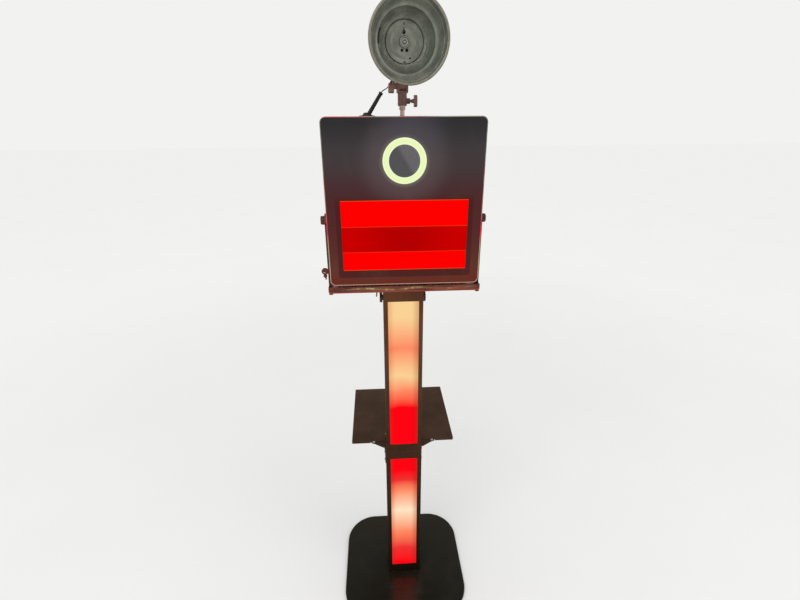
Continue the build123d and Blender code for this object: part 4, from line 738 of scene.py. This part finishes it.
def make_boot():
    """Rubber foot with a domed hub, and the slanted ribbed boot whose cap grips the lead."""
    foot = [(0, 1.0), (22.1, 0.1), (22.5, 1.1), (22.0, 2.1), (19.5, 2.9), (15, 3.5), (12, 4.6), (10.6, 6.4),
            (9.6, 8.6), (7.6, 10.0), (4, 10.4), (0, 10.5)]
    head_top = Vector((-94 * MM, -40 * MM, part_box("cable_gland")[0].z + 8 * MM))
    bm = lathe(foot, Matrix.Translation(head_top), 72)
    length = (BOOT_TOP - BOOT_LOW).length / MM
    ribs = [(0, 0), (5.6, 0)]
    along = 3.0
    while along < length - 9:
        crest = 5.5 - 0.014 * along
        groove = 5.15 - 0.014 * along
        ribs += [(crest, along), (groove, along + 0.5), (crest, along + 1.0)]
        along += 4.2
    ribs += [(4.7, length - 7.4), (4.2, length - 6.8), (4.3, length - 6.2), (5.5, length - 5.6),
             (5.6, length - 1.2), (5.0, length - 0.3), (2.2, length - 0.05), (0, length - 0.05)]
    slant = Matrix.Translation(BOOT_LOW) @ BOOT_DIR.to_track_quat("Z", "Y").to_matrix().to_4x4()
    boot = lathe(ribs, slant, 48)
    mesh = bpy.data.meshes.new("boot_part")
    boot.to_mesh(mesh)
    boot.free()
    bm.from_mesh(mesh)
    bpy.data.meshes.remove(mesh)
    add_piece("lead_boot", bm, rubber, "head", ["cable_gland"], smooth_angle=50)


def make_lead(name, points):
    """Round lead along a smooth line through the points given, between the two bodies it joins."""
    curve = bpy.data.curves.new(name, "CURVE")
    curve.dimensions = "3D"
    curve.bevel_depth = LEAD_R
    curve.bevel_resolution = 4
    curve.use_fill_caps = True
    spline = curve.splines.new("NURBS")
    spline.points.add(len(points) - 1)
    for control, point in zip(spline.points, points):
        control.co = (*point, 1)
    spline.order_u = 3
    spline.use_endpoint_u = True
    spline.resolution_u = 14
    drawn = bpy.data.objects.new(name + "_line", curve)
    mesh = bpy.data.meshes.new_from_object(drawn)
    bpy.data.objects.remove(drawn)
    mesh.shade_smooth()
    mesh.materials.clear()
    mesh.materials.append(rubber)
    piece = bpy.data.objects.new(name + "_cover", mesh)
    bpy.context.scene.collection.objects.link(piece)
    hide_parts(name)
    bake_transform(piece)


def make_hanging_pin():
    """Small slanted pin that hangs under the yoke, left of the column."""
    place = Vector((-80, -98, 1270.5)) * MM
    slant = Vector((-0.16, -0.12, -1)).to_track_quat("Z", "Y").to_matrix().to_4x4()
    shape = [(0, 0), (2.2, 0), (2.2, 1.2), (1.4, 1.8), (1.4, 3.6), (1.9, 4.6), (2.0, 14), (1.6, 16.4),
             (0.8, 17.6), (0, 17.8)]
    add_piece("yoke_pin", lathe(shape, Matrix.Translation(place) @ slant, 24), pin_metal, "yoke_mast")


def soften_edges():
    """Rounds the moulded edges of the knobs and the cast bracket."""
    for name in ("bracket_knob", "tilt_lever", "tilt_knob_left", "tilt_knob_right", "clamp_knob_left",
                 "clamp_knob_right", "flash_bracket"):
        bevel = nodes[name].modifiers.new("softened", "BEVEL")
        bevel.width = 0.9 * MM
        bevel.segments = 3
        bevel.limit_method = "ANGLE"
        bevel.angle_limit = math.radians(35)


make_bowl()
make_flash_face()
make_boot()
make_hanging_pin()
make_lead("lead_lower", [BOOT_TOP, BOOT_TOP + 5 * MM * BOOT_DIR, LEAD_MIDDLE,
                         CLIP_NEAR - 7 * MM * CLIP_DIR, CLIP_NEAR])
make_lead("lead_upper", [CLIP_FAR, CLIP_FAR + 7 * MM * CLIP_DIR, LEAD_SOCKET + Vector((2, -8, -15)) * MM,
                         LEAD_SOCKET - 8 * MM * FLASH_UP, LEAD_SOCKET])
soften_edges()


# ---------------------------------------------------------------- floor and light
def make_floor():
    """A wide pale floor."""
    bm = bmesh.new()
    bmesh.ops.create_grid(bm, x_segments=2, y_segments=2, size=40)
    mesh = bpy.data.meshes.new("floor")
    bm.to_mesh(mesh)
    bm.free()
    floor = bpy.data.objects.new("floor", mesh)
    bpy.context.scene.collection.objects.link(floor)
    f = Finish("floor_paint", roughness=0.8, specular_ior_level=0.0, emission_color=(1, 1, 1, 1))
    away = f.math("SQRT", f.math("ADD", f.math("MULTIPLY", f.x, f.x), f.math("MULTIPLY", f.y, f.y)))
    f.set(emission_strength=f.span(away, 0.8, 5.0, 0.0, 0.1))
    cloud = f.span(f.noise(1.5, 3), 0.3, 0.7, 0, 0.3)
    f.set(base_color=f.mix(cloud, tint(240, 240, 239), tint(236, 236, 234)))
    mesh.materials.append(f.material)


def add_softbox(name, place, target, size, power):
    data = bpy.data.lights.new(name, "AREA")
    data.shape = "RECTANGLE"
    data.size, data.size_y = size
    data.energy = power
    light = bpy.data.objects.new(name, data)
    light.location = place
    light.rotation_mode = "QUATERNION"
    light.rotation_quaternion = (Vector(target) - Vector(place)).to_track_quat("-Z", "Y")
    bpy.context.scene.collection.objects.link(light)


make_floor()
world = bpy.data.worlds.new("studio")
world.use_nodes = True
world.node_tree.nodes["Background"].inputs["Color"].default_value = tint(242, 242, 241)
world.node_tree.nodes["Background"].inputs["Strength"].default_value = 1.0
bpy.context.scene.world = world
bpy.context.scene.view_settings.view_transform = "Standard"
add_softbox("key", (-1.6, -2.4, 3.4), (0, 0, 1.1), (2.4, 1.6), 26)
add_softbox("fill", (2.2, -1.6, 2.4), (0, 0, 1.0), (1.6, 2.2), 10)
